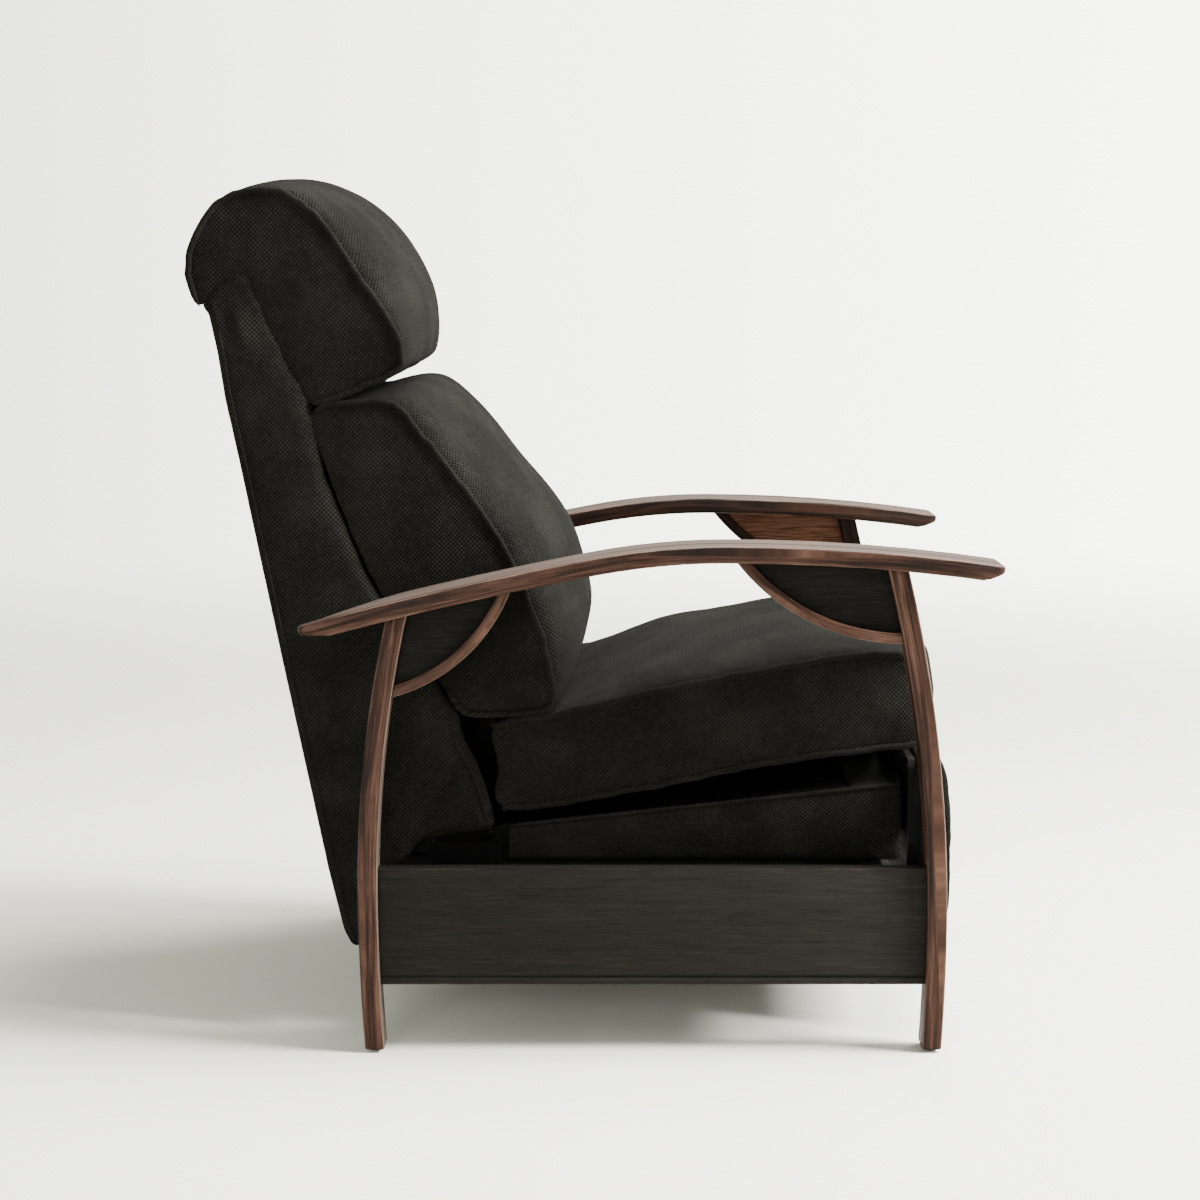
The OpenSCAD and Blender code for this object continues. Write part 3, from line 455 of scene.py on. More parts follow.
def roughen(obj: bpy.types.Object, *layers: Place) -> None:
    """Moves an object's skin in and out by soft lumps.

    Args:
        obj: The object.
        *layers: The size, the seed and the height of each layer of lumps.
    """
    points, normals = points_of(obj), normals_of(obj)
    lift = sum(lumps(points, size, seed) * height for size, seed, height in layers)
    set_points(obj, points + normals * lift[:, None])


# ---------------------------------------------------------------- materials


def hold(node: bpy.types.Node, **values: object) -> None:
    """Sets constant values on a node's own sockets, their names with underscores for spaces."""
    for name, value in values.items():
        node.inputs[name.replace("_", " ")].default_value = value


class Graph:
    """A node tree with short calls that add nodes and join them."""

    def __init__(self, tree: bpy.types.NodeTree) -> None:
        """Keeps the tree and empties it."""
        self.tree = tree
        tree.nodes.clear()
        self.count = 0

    def add(self, kind: str, **values: object) -> bpy.types.Node:
        """Adds a node.

        Args:
            kind: Blender's name of the node type.
            **values: Properties to set on the node.

        Returns:
            The node.
        """
        node = self.tree.nodes.new(kind)
        node.location = (180 * (self.count % 12), -220 * (self.count // 12))
        self.count += 1
        for key, value in values.items():
            setattr(node, key, value)
        return node

    def feed(self, socket: bpy.types.NodeSocket, value: object) -> None:
        """Joins a socket to another, or sets its value.

        Args:
            socket: The input.
            value: An output socket, a number or a colour.
        """
        if isinstance(value, bpy.types.NodeSocket):
            self.tree.links.new(value, socket)
        elif isinstance(value, tuple) and len(value) == 3 and socket.type == "RGBA":
            socket.default_value = (*value, 1.0)
        else:
            socket.default_value = value

    def math(self, operation: str, *values: object, clamp: bool = False) -> bpy.types.NodeSocket:
        """Adds a math node.

        Args:
            operation: Its operation.
            *values: Its inputs, numbers or sockets.
            clamp: Keeps the result from 0 to 1.

        Returns:
            The result's socket.
        """
        node = self.add("ShaderNodeMath", operation=operation, use_clamp=clamp)
        for socket, value in zip(node.inputs, values):
            self.feed(socket, value)
        return node.outputs[0]

    def vector(self, operation: str, *values: object) -> bpy.types.NodeSocket:
        """Adds a vector math node.

        Args:
            operation: Its operation.
            *values: Its inputs; a number goes to the scale.

        Returns:
            The result's socket.
        """
        node = self.add("ShaderNodeVectorMath", operation=operation)
        sockets = [node.inputs[0], node.inputs["Scale"]] if operation == "SCALE" else node.inputs
        for socket, value in zip(sockets, values):
            self.feed(socket, value)
        return node.outputs[0]

    def split(self, vector: object) -> bpy.types.NodeOutputs:
        """The three numbers of a vector."""
        node = self.add("ShaderNodeSeparateXYZ")
        self.feed(node.inputs[0], vector)
        return node.outputs

    def join(self, *values: object) -> bpy.types.NodeSocket:
        """A vector of up to three numbers."""
        node = self.add("ShaderNodeCombineXYZ")
        for socket, value in zip(node.inputs, values):
            self.feed(socket, value)
        return node.outputs[0]

    def solid(self) -> bpy.types.NodeSocket:
        """The place in the object's own space."""
        return self.add("ShaderNodeTexCoord").outputs["Object"]

    def mix(self, factor: object, a: object, b: object) -> bpy.types.NodeSocket:
        """Mixes two colours.

        Args:
            factor: How much of b.
            a: The first colour.
            b: The second colour.

        Returns:
            The mixed colour's socket.
        """
        node = self.add("ShaderNodeMix", data_type="RGBA")
        first, second, result = 6, 7, 2
        self.feed(node.inputs["Factor"], factor)
        self.feed(node.inputs[first], a)
        self.feed(node.inputs[second], b)
        return node.outputs[result]

    def ease(
        self,
        value: object,
        low: float,
        high: float,
        out_low: float = 0.0,
        out_high: float = 1.0,
        smooth: bool = True,
    ) -> bpy.types.NodeSocket:
        """Maps a value from one range to another, softly at the ends.

        Args:
            value: The value.
            low: Where the range starts.
            high: Where it ends.
            out_low: The result at low.
            out_high: The result at high.
            smooth: Eases in and out.

        Returns:
            The result's socket.
        """
        kind = "SMOOTHSTEP" if smooth else "LINEAR"
        node = self.add("ShaderNodeMapRange", interpolation_type=kind)
        self.feed(node.inputs["Value"], value)
        hold(node, From_Min=low, From_Max=high, To_Min=out_low, To_Max=out_high)
        return node.outputs[0]

    def ramp(self, value: object, stops: Sequence[tuple[float, Colour]]) -> bpy.types.NodeSocket:
        """Turns a value into a colour.

        Args:
            value: The value, from 0 to 1.
            stops: Places and colours.

        Returns:
            The colour's socket.
        """
        node = self.add("ShaderNodeValToRGB")
        elements = node.color_ramp.elements
        while len(elements) < len(stops):
            elements.new(0.5)
        for element, (place, colour) in zip(elements, stops):
            element.position = place
            element.color = (*colour, 1.0)
        self.feed(node.inputs["Fac"], value)
        return node.outputs["Color"]

    def noise(
        self,
        vector: object,
        scale: object,
        detail: float = 3.0,
        roughness: float = 0.5,
    ) -> bpy.types.NodeSocket:
        """Adds a noise texture.

        Args:
            vector: Where it is read.
            scale: How fine it is.
            detail: Its octaves.
            roughness: How much the finer ones count.

        Returns:
            Its value's socket.
        """
        node = self.add("ShaderNodeTexNoise")
        self.feed(node.inputs["Vector"], vector)
        self.feed(node.inputs["Scale"], scale)
        hold(node, Detail=detail, Roughness=roughness)
        return node.outputs[0]

    def stretch(self, vector: object, scale: Place, turn: float = 0.0) -> bpy.types.NodeSocket:
        """Scales a vector by a different number each way.

        Args:
            vector: The vector.
            scale: The three numbers.
            turn: Degrees it is turned round its third axis.

        Returns:
            The result's socket.
        """
        node = self.add("ShaderNodeMapping")
        self.feed(node.inputs["Vector"], vector)
        hold(node, Scale=scale, Rotation=(0.0, 0.0, math.radians(turn)))
        return node.outputs[0]

    def group(self, name: str, **values: object) -> bpy.types.Node:
        """Places a node group.

        Args:
            name: The group's name.
            **values: Its inputs, with spaces written as underscores.

        Returns:
            The group's node.
        """
        node = self.add("ShaderNodeGroup", node_tree=bpy.data.node_groups[name])
        for key, value in values.items():
            self.feed(node.inputs[key.replace("_", " ")], value)
        return node


def new_group(
    name: str, inputs: Sequence[tuple[str, str, object]], outputs: Sequence[str]
) -> tuple[Graph, bpy.types.Node, bpy.types.Node]:
    """Starts a shader node group.

    Args:
        name: The group's name.
        inputs: Names, kinds and first values of its inputs.
        outputs: Names of its outputs, which are all numbers.

    Returns:
        Its graph, its input node and its output node.
    """
    tree = bpy.data.node_groups.new(name, "ShaderNodeTree")
    graph = Graph(tree)
    for label, kind, value in inputs:
        socket = tree.interface.new_socket(label, in_out="INPUT", socket_type=kind)
        if value is not None:
            socket.default_value = value
    for label in outputs:
        tree.interface.new_socket(label, in_out="OUTPUT", socket_type="NodeSocketFloat")
    return graph, graph.add("NodeGroupInput"), graph.add("NodeGroupOutput")


def make_basket_weave() -> None:
    """The group of a plain basket weave: thread height, shade of each yarn and the gaps."""
    g, start, end = new_group(
        "basket weave",
        [
            ("Vector", "NodeSocketVector", None),
            ("Threads", "NodeSocketFloat", 220.0),
            ("Wobble", "NodeSocketFloat", 0.35),
        ],
        ["Height", "Yarn", "Gap"],
    )
    place = g.vector("SCALE", start.outputs["Vector"], start.outputs["Threads"])
    drift = g.add("ShaderNodeTexNoise")
    g.feed(drift.inputs["Vector"], start.outputs["Vector"])
    hold(drift, Scale=70.0, Detail=2.0)
    centred = g.vector("SUBTRACT", drift.outputs["Color"], (0.5, 0.5, 0.5))
    pushed = g.vector("SCALE", centred, start.outputs["Wobble"])
    place = g.vector("ADD", place, g.vector("SCALE", pushed, 2.0))
    u, v, _ = g.split(place)
    cell_u, cell_v = g.math("FLOOR", u), g.math("FLOOR", v)
    half_sum = g.math("MULTIPLY", g.math("ADD", cell_u, cell_v), 0.5)
    over = g.math("MULTIPLY", g.math("FRACT", half_sum), 2.0)

    def hump(value: bpy.types.NodeSocket) -> bpy.types.NodeSocket:
        """A round hump over each thread."""
        centre = g.math("SUBTRACT", g.math("MULTIPLY", g.math("FRACT", value), 2.0), 1.0)
        return g.math("SUBTRACT", 1.0, g.math("MULTIPLY", centre, centre))

    a, b = hump(u), hump(v)
    along_u = g.math("MULTIPLY", b, g.math("MULTIPLY_ADD", a, 0.6, 0.4))
    along_v = g.math("MULTIPLY", a, g.math("MULTIPLY_ADD", b, 0.6, 0.4))
    under = g.math("MULTIPLY", along_u, g.math("SUBTRACT", 1.0, over))
    height = g.math("ADD", under, g.math("MULTIPLY", along_v, over))
    yarn = g.add("ShaderNodeTexWhiteNoise", noise_dimensions="2D")
    g.feed(yarn.inputs["Vector"], g.join(cell_u, cell_v))
    g.feed(end.inputs["Height"], g.math("POWER", g.math("MAXIMUM", height, 0.0), 0.6))
    g.feed(end.inputs["Yarn"], yarn.outputs["Value"])
    g.feed(end.inputs["Gap"], g.ease(height, 0.10, 0.60, 1.0, 0.0))


def make_wood_grain() -> None:
    """The group of wood grain: broad bands, streaks along the board and fine fibres."""
    g, start, end = new_group(
        "wood grain",
        [("Vector", "NodeSocketVector", None), ("Tightness", "NodeSocketFloat", 1.0)],
        ["Band", "Streak", "Fibre"],
    )
    tight = g.vector("SCALE", start.outputs["Vector"], start.outputs["Tightness"])
    wander = g.noise(g.stretch(tight, (3.0, 14.0, 14.0)), 1.0, 2.0)
    push = g.math("MULTIPLY", g.math("SUBTRACT", wander, 0.5), 0.02)
    place = g.vector("ADD", tight, g.join(0.0, push))
    for name, along, across, detail, rough in (
        ("Band", 1.6, 36.0, 3.0, 0.55),
        ("Streak", 4.5, 150.0, 5.0, 0.62),
        ("Fibre", 26.0, 900.0, 3.0, 0.6),
    ):
        pulled = g.stretch(place, (along, across, across))
        g.feed(end.inputs[name], g.noise(pulled, 1.0, detail, rough))


def make_edge_wear() -> None:
    """The group of wear along the four long edges of a board, from its section attribute."""
    g, start, end = new_group(
        "edge wear",
        [
            ("Section", "NodeSocketVector", None),
            ("Vector", "NodeSocketVector", None),
            ("Reach", "NodeSocketFloat", 0.2),
        ],
        ["Wear"],
    )
    side, top, _ = g.split(g.vector("ABSOLUTE", start.outputs["Section"]))
    near = g.math("MINIMUM", side, top)
    place = start.outputs["Vector"]
    rough = g.noise(g.stretch(place, (35.0, 160.0, 160.0)), 1.0, 4.0, 0.6)
    reach = g.math("SUBTRACT", 1.0, g.math("MULTIPLY", start.outputs["Reach"], rough))
    past, room = g.math("SUBTRACT", near, reach), g.math("SUBTRACT", 1.02, reach)
    edge = g.math("DIVIDE", past, room, clamp=True)
    patch = g.ease(g.noise(g.stretch(place, (9.0, 20.0, 20.0)), 1.0, 2.0), 0.36, 0.62)
    g.feed(end.inputs["Wear"], g.math("MULTIPLY", edge, patch))


def make_cloudiness() -> None:
    """The group of soft uneven patches that cloth, paint and wood share."""
    g, start, end = new_group(
        "cloudiness",
        [("Vector", "NodeSocketVector", None), ("Size", "NodeSocketFloat", 0.06)],
        ["Cloud", "Speck"],
    )
    scale = g.math("DIVIDE", 1.0, start.outputs["Size"])
    fine = g.math("MULTIPLY", scale, 24.0)
    g.feed(end.inputs["Cloud"], g.noise(start.outputs["Vector"], scale, 4.0, 0.55))
    g.feed(end.inputs["Speck"], g.noise(start.outputs["Vector"], fine, 2.0, 0.6))


@dataclass(frozen=True)
class Finish:
    """What every finish has: a name and a shader with constant values on its own sockets."""

    name: str

    def start(self) -> tuple[bpy.types.Material, Graph, bpy.types.Node]:
        """Starts the material.

        Returns:
            The material, its graph and its shader.
        """
        material = bpy.data.materials.new(self.name)
        material.use_nodes = True
        graph = Graph(material.node_tree)
        shader = graph.add("ShaderNodeBsdfPrincipled")
        out = graph.add("ShaderNodeOutputMaterial")
        graph.feed(out.inputs["Surface"], shader.outputs[0])
        return material, graph, shader

    @staticmethod
    def place(graph: Graph, source: Source) -> bpy.types.NodeSocket:
        """Where the finish reads its pattern.

        Args:
            graph: The material's graph.
            source: The map, attribute or axis that it follows.

        Returns:
            A vector in metres, along the grain first.
        """
        if source is Source.GRAIN_MAP:
            return graph.add("ShaderNodeAttribute", attribute_name=GRAIN).outputs["Vector"]
        if source is Source.WEAVE_MAP:
            return graph.add("ShaderNodeUVMap", uv_map=WEAVE).outputs[0]
        parts = graph.split(graph.solid())
        order = (1, 2, 0) if source is Source.ALONG_Y else (0, 2, 1)
        return graph.join(*(parts[axis] for axis in order))

    @staticmethod
    def relief(
        graph: Graph, shader: bpy.types.Node, height: object, strength: float, distance: float
    ) -> None:
        """Joins a height to the shader as a bump.

        Args:
            graph: The material's graph.
            shader: The shader.
            height: The height's socket.
            strength: How much it counts.
            distance: How high it is, in metres.
        """
        bump = graph.add("ShaderNodeBump")
        hold(bump, Strength=strength, Distance=distance)
        graph.feed(bump.inputs["Height"], height)
        graph.feed(shader.inputs["Normal"], bump.outputs[0])


@dataclass(frozen=True)
class WovenCloth(Finish):
    """Charcoal basket-weave upholstery with a brushed, uneven face."""

    deep: Colour = (0.0005, 0.0005, 0.0004)
    face: Colour = (0.0056, 0.0056, 0.0046)
    brushed: Colour = (0.0215, 0.0212, 0.0178)
    threads: float = 255.0
    wobble: float = 0.3
    bump: float = 1.0
    sheen: float = 0.010
    bias: float = 45.0

    def build(self) -> bpy.types.Material:
        """Makes the material."""
        material, g, shader = self.start()
        place = g.stretch(self.place(g, Source.WEAVE_MAP), (1.0, 1.0, 1.0), self.bias)
        weave = g.group("basket weave", Vector=place, Threads=self.threads, Wobble=self.wobble)
        cloud = g.group("cloudiness", Vector=g.solid(), Size=0.075)
        brush = g.ease(cloud.outputs["Cloud"], 0.40, 0.68)
        yarn = g.math("MULTIPLY_ADD", weave.outputs["Yarn"], 0.34, 0.12)
        lift = g.math("ADD", g.math("MULTIPLY", brush, 0.36), yarn, clamp=True)
        lift = g.math("MULTIPLY", lift, g.ease(weave.outputs["Height"], 0.1, 1.0))
        colour = g.mix(lift, self.face, self.brushed)
        colour = g.mix(weave.outputs["Gap"], colour, self.deep)
        g.feed(shader.inputs["Base Color"], colour)
        g.feed(shader.inputs["Roughness"], g.ease(cloud.outputs["Cloud"], 0.2, 0.8, 0.98, 0.82))
        hold(shader, Sheen_Weight=self.sheen, Sheen_Roughness=0.45, Specular_IOR_Level=0.05)
        hold(shader, Sheen_Tint=(0.86, 0.86, 0.85, 1.0))
        height = g.math("MULTIPLY_ADD", cloud.outputs["Speck"], 0.5, weave.outputs["Height"])
        self.relief(g, shader, height, self.bump, 0.0009)
        return material


@dataclass(frozen=True)
class StainedWood(Finish):
    """Dark stained wood with streaks along the grain, paler worn edges, a painted pale highlight on
    the faces that meet the light, and inner colours on the faces toward the chair: painted shade on
    the bent wood, a paler stain with painted light on the bracket panels.
    """

    black: Colour = (0.0040, 0.0028, 0.0022)
    dark: Colour = (0.0220, 0.0098, 0.0068)
    body: Colour = (0.0560, 0.0253, 0.0170)
    bright: Colour = (0.1180, 0.0610, 0.0418)
    worn: Colour = (0.2180, 0.1370, 0.1010)
    # inner and inner_dark_stain_and_painted_light colour the faces toward the chair: on the bent wood
    # they are painted shade, dark because the chair shades those faces
    inner: Colour | None = (0.0260, 0.0110, 0.0062)
    inner_dark_stain_and_painted_light: Colour = (0.0050, 0.0026, 0.0018)
    # painted highlight: the pale grey that the top faces take where the light falls on them
    painted_top_sheen: Colour | None = (0.1000, 0.0780, 0.0660)
    tightness: float = 1.0
    wear: float = 0.75
    wear_reach: float = 0.34
    rough: Pair = (0.40, 0.62)
    bump: float = 0.35
    shine: float = 0.09
    spread: Pair = (0.38, 0.62)

    def build(self, source: Source = Source.GRAIN_MAP) -> bpy.types.Material:
        """Makes the material.

        Args:
            source: Where the grain is read.

        Returns:
            The material.
        """
        material, g, shader = self.start()
        place = self.place(g, source)
        grain = g.group("wood grain", Vector=place, Tightness=self.tightness)
        cloud = g.group("cloudiness", Vector=place, Size=0.16)
        tone = g.math("MULTIPLY", grain.outputs["Streak"], 0.62)
        tone = g.math("MULTIPLY_ADD", grain.outputs["Band"], 0.38, tone)
        tone = g.math("MULTIPLY_ADD", g.math("SUBTRACT", cloud.outputs["Cloud"], 0.5), 0.22, tone)
        tone = g.ease(tone, *self.spread, smooth=False)
        stops = [(0.0, self.black), (0.28, self.dark), (0.62, self.body), (1.0, self.bright)]
        colour = g.ramp(tone, stops)
        fibre = g.ease(grain.outputs["Fibre"], 0.34, 0.62)
        colour = g.mix(g.math("MULTIPLY", g.math("SUBTRACT", 1.0, fibre), 0.55), colour, self.black)
        if self.wear > 0 and source is Source.GRAIN_MAP:
            section = g.add("ShaderNodeAttribute", attribute_name=SECTION).outputs["Vector"]
            _, through, outward = g.split(section)
            # Painted highlight: faces whose through share is below -0.9, such as the arms' tops and
            # the legs' fronts, turn pale grey in patches along the grain.
            if self.painted_top_sheen:
                patch = g.ease(grain.outputs["Band"], 0.34, 0.52, 0.05, 0.85)
                patch = g.math("MULTIPLY", g.math("LESS_THAN", through, -0.9), patch)
                colour = g.mix(patch, colour, self.painted_top_sheen)
            # Faces toward the chair take the inner colours: painted shade on the bent wood; on the
            # bracket panels a brown stain made paler to stand in for the little light there.
            if self.inner:
                streak = g.ease(grain.outputs["Streak"], 0.36, 0.60)
                inner_stain_and_painted_light = g.mix(streak, self.inner_dark_stain_and_painted_light, self.inner)
                colour = g.mix(g.math("LESS_THAN", outward, -0.93), colour, inner_stain_and_painted_light)
            wear = g.group("edge wear", Section=section, Vector=place, Reach=self.wear_reach)
            amount = g.math("MULTIPLY", wear.outputs["Wear"], self.wear)
            colour = g.mix(amount, colour, self.worn)
        g.feed(shader.inputs["Base Color"], colour)
        rough = g.ease(grain.outputs["Streak"], 0.3, 0.7, self.rough[1], self.rough[0])
        g.feed(shader.inputs["Roughness"], rough)
        hold(shader, Specular_IOR_Level=self.shine)
        fine = g.math("MULTIPLY", fibre, 0.4)
        height = g.math("MULTIPLY_ADD", grain.outputs["Streak"], 0.6, fine)
        self.relief(g, shader, height, self.bump, 0.0008)
        return material


@dataclass(frozen=True)
class Metal(Finish):
    """Steel, painted or plated, with faint clouds and specks."""

    colour: Colour = (0.0014, 0.0014, 0.0014)
    worn: Colour = (0.0030, 0.0030, 0.0030)
    metallic: float = 0.0
    rough: Pair = (0.42, 0.6)
    bump: float = 0.12
    shine: float = 0.05

    def build(self) -> bpy.types.Material:
        """Makes the material."""
        material, g, shader = self.start()
        cloud = g.group("cloudiness", Vector=g.solid(), Size=0.03)
        rub = g.math("MULTIPLY", g.ease(cloud.outputs["Cloud"], 0.45, 0.7), 0.7)
        g.feed(shader.inputs["Base Color"], g.mix(rub, self.colour, self.worn))
        g.feed(shader.inputs["Roughness"], g.ease(cloud.outputs["Speck"], 0.25, 0.75, *self.rough))
        hold(shader, Metallic=self.metallic, Specular_IOR_Level=self.shine)
        self.relief(g, shader, cloud.outputs["Speck"], self.bump, 0.0003)
        return material


@dataclass(frozen=True)
class Webbing(Finish):
    """Woven jute strap, its yarns in paler and darker tones."""

    pale: Colour = (0.36, 0.28, 0.17)
    shade: Colour = (0.14, 0.10, 0.055)

    def build(self) -> bpy.types.Material:
        """Makes the material."""
        material, g, shader = self.start()
        place = self.place(g, Source.ALONG_X)
        weave = g.group("basket weave", Vector=place, Threads=420.0, Wobble=0.25)
        tone = g.math("MULTIPLY", weave.outputs["Yarn"], 0.6)
        colour = g.mix(tone, self.pale, self.shade)
        colour = g.mix(weave.outputs["Gap"], colour, (0.03, 0.02, 0.012))
        g.feed(shader.inputs["Base Color"], colour)
        hold(shader, Roughness=0.95)
        self.relief(g, shader, weave.outputs["Height"], 0.8, 0.0006)
        return material


@dataclass(frozen=True)
class Moulded(Finish):
    """Plain moulded plastic with a fine grain."""

    colour: Colour = (0.03, 0.028, 0.026)

    def build(self) -> bpy.types.Material:
        """Makes the material."""
        material, g, shader = self.start()
        cloud = g.group("cloudiness", Vector=g.solid(), Size=0.01)
        dark = tuple(c * 0.6 for c in self.colour)
        g.feed(shader.inputs["Base Color"], g.mix(cloud.outputs["Cloud"], self.colour, dark))
        g.feed(shader.inputs["Roughness"], g.ease(cloud.outputs["Speck"], 0.2, 0.8, 0.5, 0.7))
        self.relief(g, shader, cloud.outputs["Speck"], 0.3, 0.0002)
        return material


class Finishes:
    """All the finishes of the chair, each made once."""

    def __init__(self) -> None:
        """Makes the shared groups first, and then each finish."""
        for make_group in (make_basket_weave, make_wood_grain, make_edge_wear, make_cloudiness):
            make_group()
        upholstery = WovenCloth("upholstery_cloth")
        self.cloth = upholstery.build()
        welt = replace(upholstery, name="welt_cloth", bias=18.0, threads=330.0, bump=0.6)
        self.welt = welt.build()
        cambric = replace(
            upholstery,
            name="lining_cambric",
            deep=(0.0006, 0.0006, 0.0006),
            face=(0.0018, 0.0018, 0.0017),
            brushed=(0.0036, 0.0035, 0.0034),
            threads=900.0,
            bump=0.3,
            sheen=0.0,
        )
        self.lining = cambric.build()
        self.decking = replace(
            cambric,
            name="decking_cloth",
            face=(0.0030, 0.0029, 0.0026),
            brushed=(0.0060, 0.0058, 0.0052),
        ).build()
        self.bent = StainedWood("bent_wood_stain").build()
        brushed = StainedWood(
            "brushed_panel_stain",
            black=(0.0060, 0.0055, 0.0048),
            dark=(0.0130, 0.0119, 0.0101),
            body=(0.0172, 0.0157, 0.0134),
            bright=(0.0270, 0.0240, 0.0200),
            spread=(0.30, 0.70),
            worn=(0.240, 0.150, 0.100),
            inner=None,
            tightness=4.2,
            wear=0.7,
            wear_reach=0.045,
            shine=0.06,
            painted_top_sheen=None,
            rough=(0.5, 0.72),
            bump=0.7,
        )
        self.rail = brushed.build()
        # The bracket panels: a darker copy of the rail stain, the darkening painted shade from the
        # arms above them; their inner faces a brown stain made paler to stand in for the little light
        # there.
        self.panel = replace(
            brushed,
            name="bracket_panel_stain",
            black=(0.0022, 0.0020, 0.0018),
            dark=(0.0062, 0.0056, 0.0048),
            body=(0.0100, 0.0090, 0.0078),
            bright=(0.0200, 0.0176, 0.0150),
            inner=(0.2400, 0.1080, 0.0640),
            inner_dark_stain_and_painted_light=(0.0500, 0.0220, 0.0130),
            wear_reach=0.02,
        ).build()
        pale = StainedWood(
            "inner_frame_wood",
            black=(0.16, 0.095, 0.045),
            dark=(0.30, 0.19, 0.10),
            body=(0.42, 0.29, 0.17),
            bright=(0.55, 0.41, 0.26),
            wear=0.0,
            rough=(0.6, 0.75),
        )
        self.inner_y = pale.build(Source.ALONG_Y)
        self.inner_x = pale.build(Source.ALONG_X)
        dark = StainedWood(
            "footrest_board_stain",
            black=(0.006, 0.005, 0.005),
            dark=(0.011, 0.009, 0.008),
            body=(0.020, 0.016, 0.014),
            bright=(0.040, 0.032, 0.027),
            wear=0.0,
            rough=(0.6, 0.8),
        )
        self.board = dark.build(Source.ALONG_X)
        self.steel = Metal("black_steel_paint").build()
        zinc = Metal("zinc_plate", (0.62, 0.62, 0.64), (0.42, 0.42, 0.43), 1.0, (0.24, 0.42))
        self.zinc = zinc.build()
        wire = Metal("spring_wire_steel", (0.34, 0.34, 0.35), (0.16, 0.15, 0.14), 1.0, (0.3, 0.5))
        self.spring = wire.build()
        self.glide = Moulded("glide_plastic").build()
        self.webbing = Webbing("jute_webbing").build()


def dress(obj: bpy.types.Object, material: bpy.types.Material) -> None:
    """Gives an object one material in every slot.

    Args:
        obj: The object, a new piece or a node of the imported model.
        material: Its material.
    """
    if obj.material_slots:
        for slot in obj.material_slots:
            slot.material = material
    else:
        obj.data.materials.append(material)


def fit_out(
    obj: bpy.types.Object,
    body: str,
    material: bpy.types.Material,
    nodes: Sequence[str] = (),
) -> None:
    """Dresses a finished piece and hangs it on its body.

    Args:
        obj: The piece.
        body: The body it rides on.
        material: Its material.
        nodes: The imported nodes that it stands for.
    """
    dress(obj, material)
    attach(obj, body)
    if nodes:
        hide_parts(*nodes)
    log.info("%s: %d faces on %s", obj.name, len(obj.data.polygons), body)


@dataclass
class Maker:
    """Something that makes pieces of the chair in its finishes."""

    finishes: Finishes

    def sew(
        self,
        name: str,
        body: str,
        path: np.ndarray,
        radius: float,
        closed: bool = False,
        sides: int = 8,
    ) -> None:
        """Sews on a welt, or the ridge of a seam.

        Args:
            name: The piece's name.
            body: The body it rides on.
            path: The points that its middle follows.
            radius: Half its thickness.
            closed: The path comes back to its first point.
            sides: Points round it.
        """
        ridge = tube(name, path, radius, closed, sides)
        fit_out(ridge, body, self.finishes.welt)


# ---------------------------------------------------------------- soft pieces


@dataclass
class Outline:
    """Turns shares of a part's depth and height into [forward, up] places in metres."""

    rear: float
    low: float
    depth: float
    height: float

    def at(self, shares: Iterable[Pair]) -> np.ndarray:
        """The places of a list of shares."""
        back, up = np.array(list(shares), float).T
        return np.stack([self.rear + self.depth * back, self.low + self.height * up], 1)


@dataclass(frozen=True)
class Fold:
    """A soft crease or ridge on a side face, from one [forward, up] place to another."""

    start: Pair
    end: Pair
    depth: float
    width: float

    def lift(self, places: np.ndarray) -> np.ndarray:
        """How far each place moves out.

        Args:
            places: Rows of forward, up.

        Returns:
            The lift at each place, in metres.
        """
        a, b = np.array(self.start), np.array(self.end)
        run = b - a
        t = np.clip(((places - a) @ run) / (run @ run), 0, 1)
        away = np.linalg.norm(places - (a + t[:, None] * run), axis=1)
        ends = np.sin(np.clip(t, 0.02, 0.98) * math.pi) ** 0.5
        return self.depth * np.exp(-((away / self.width) ** 2)) * ends


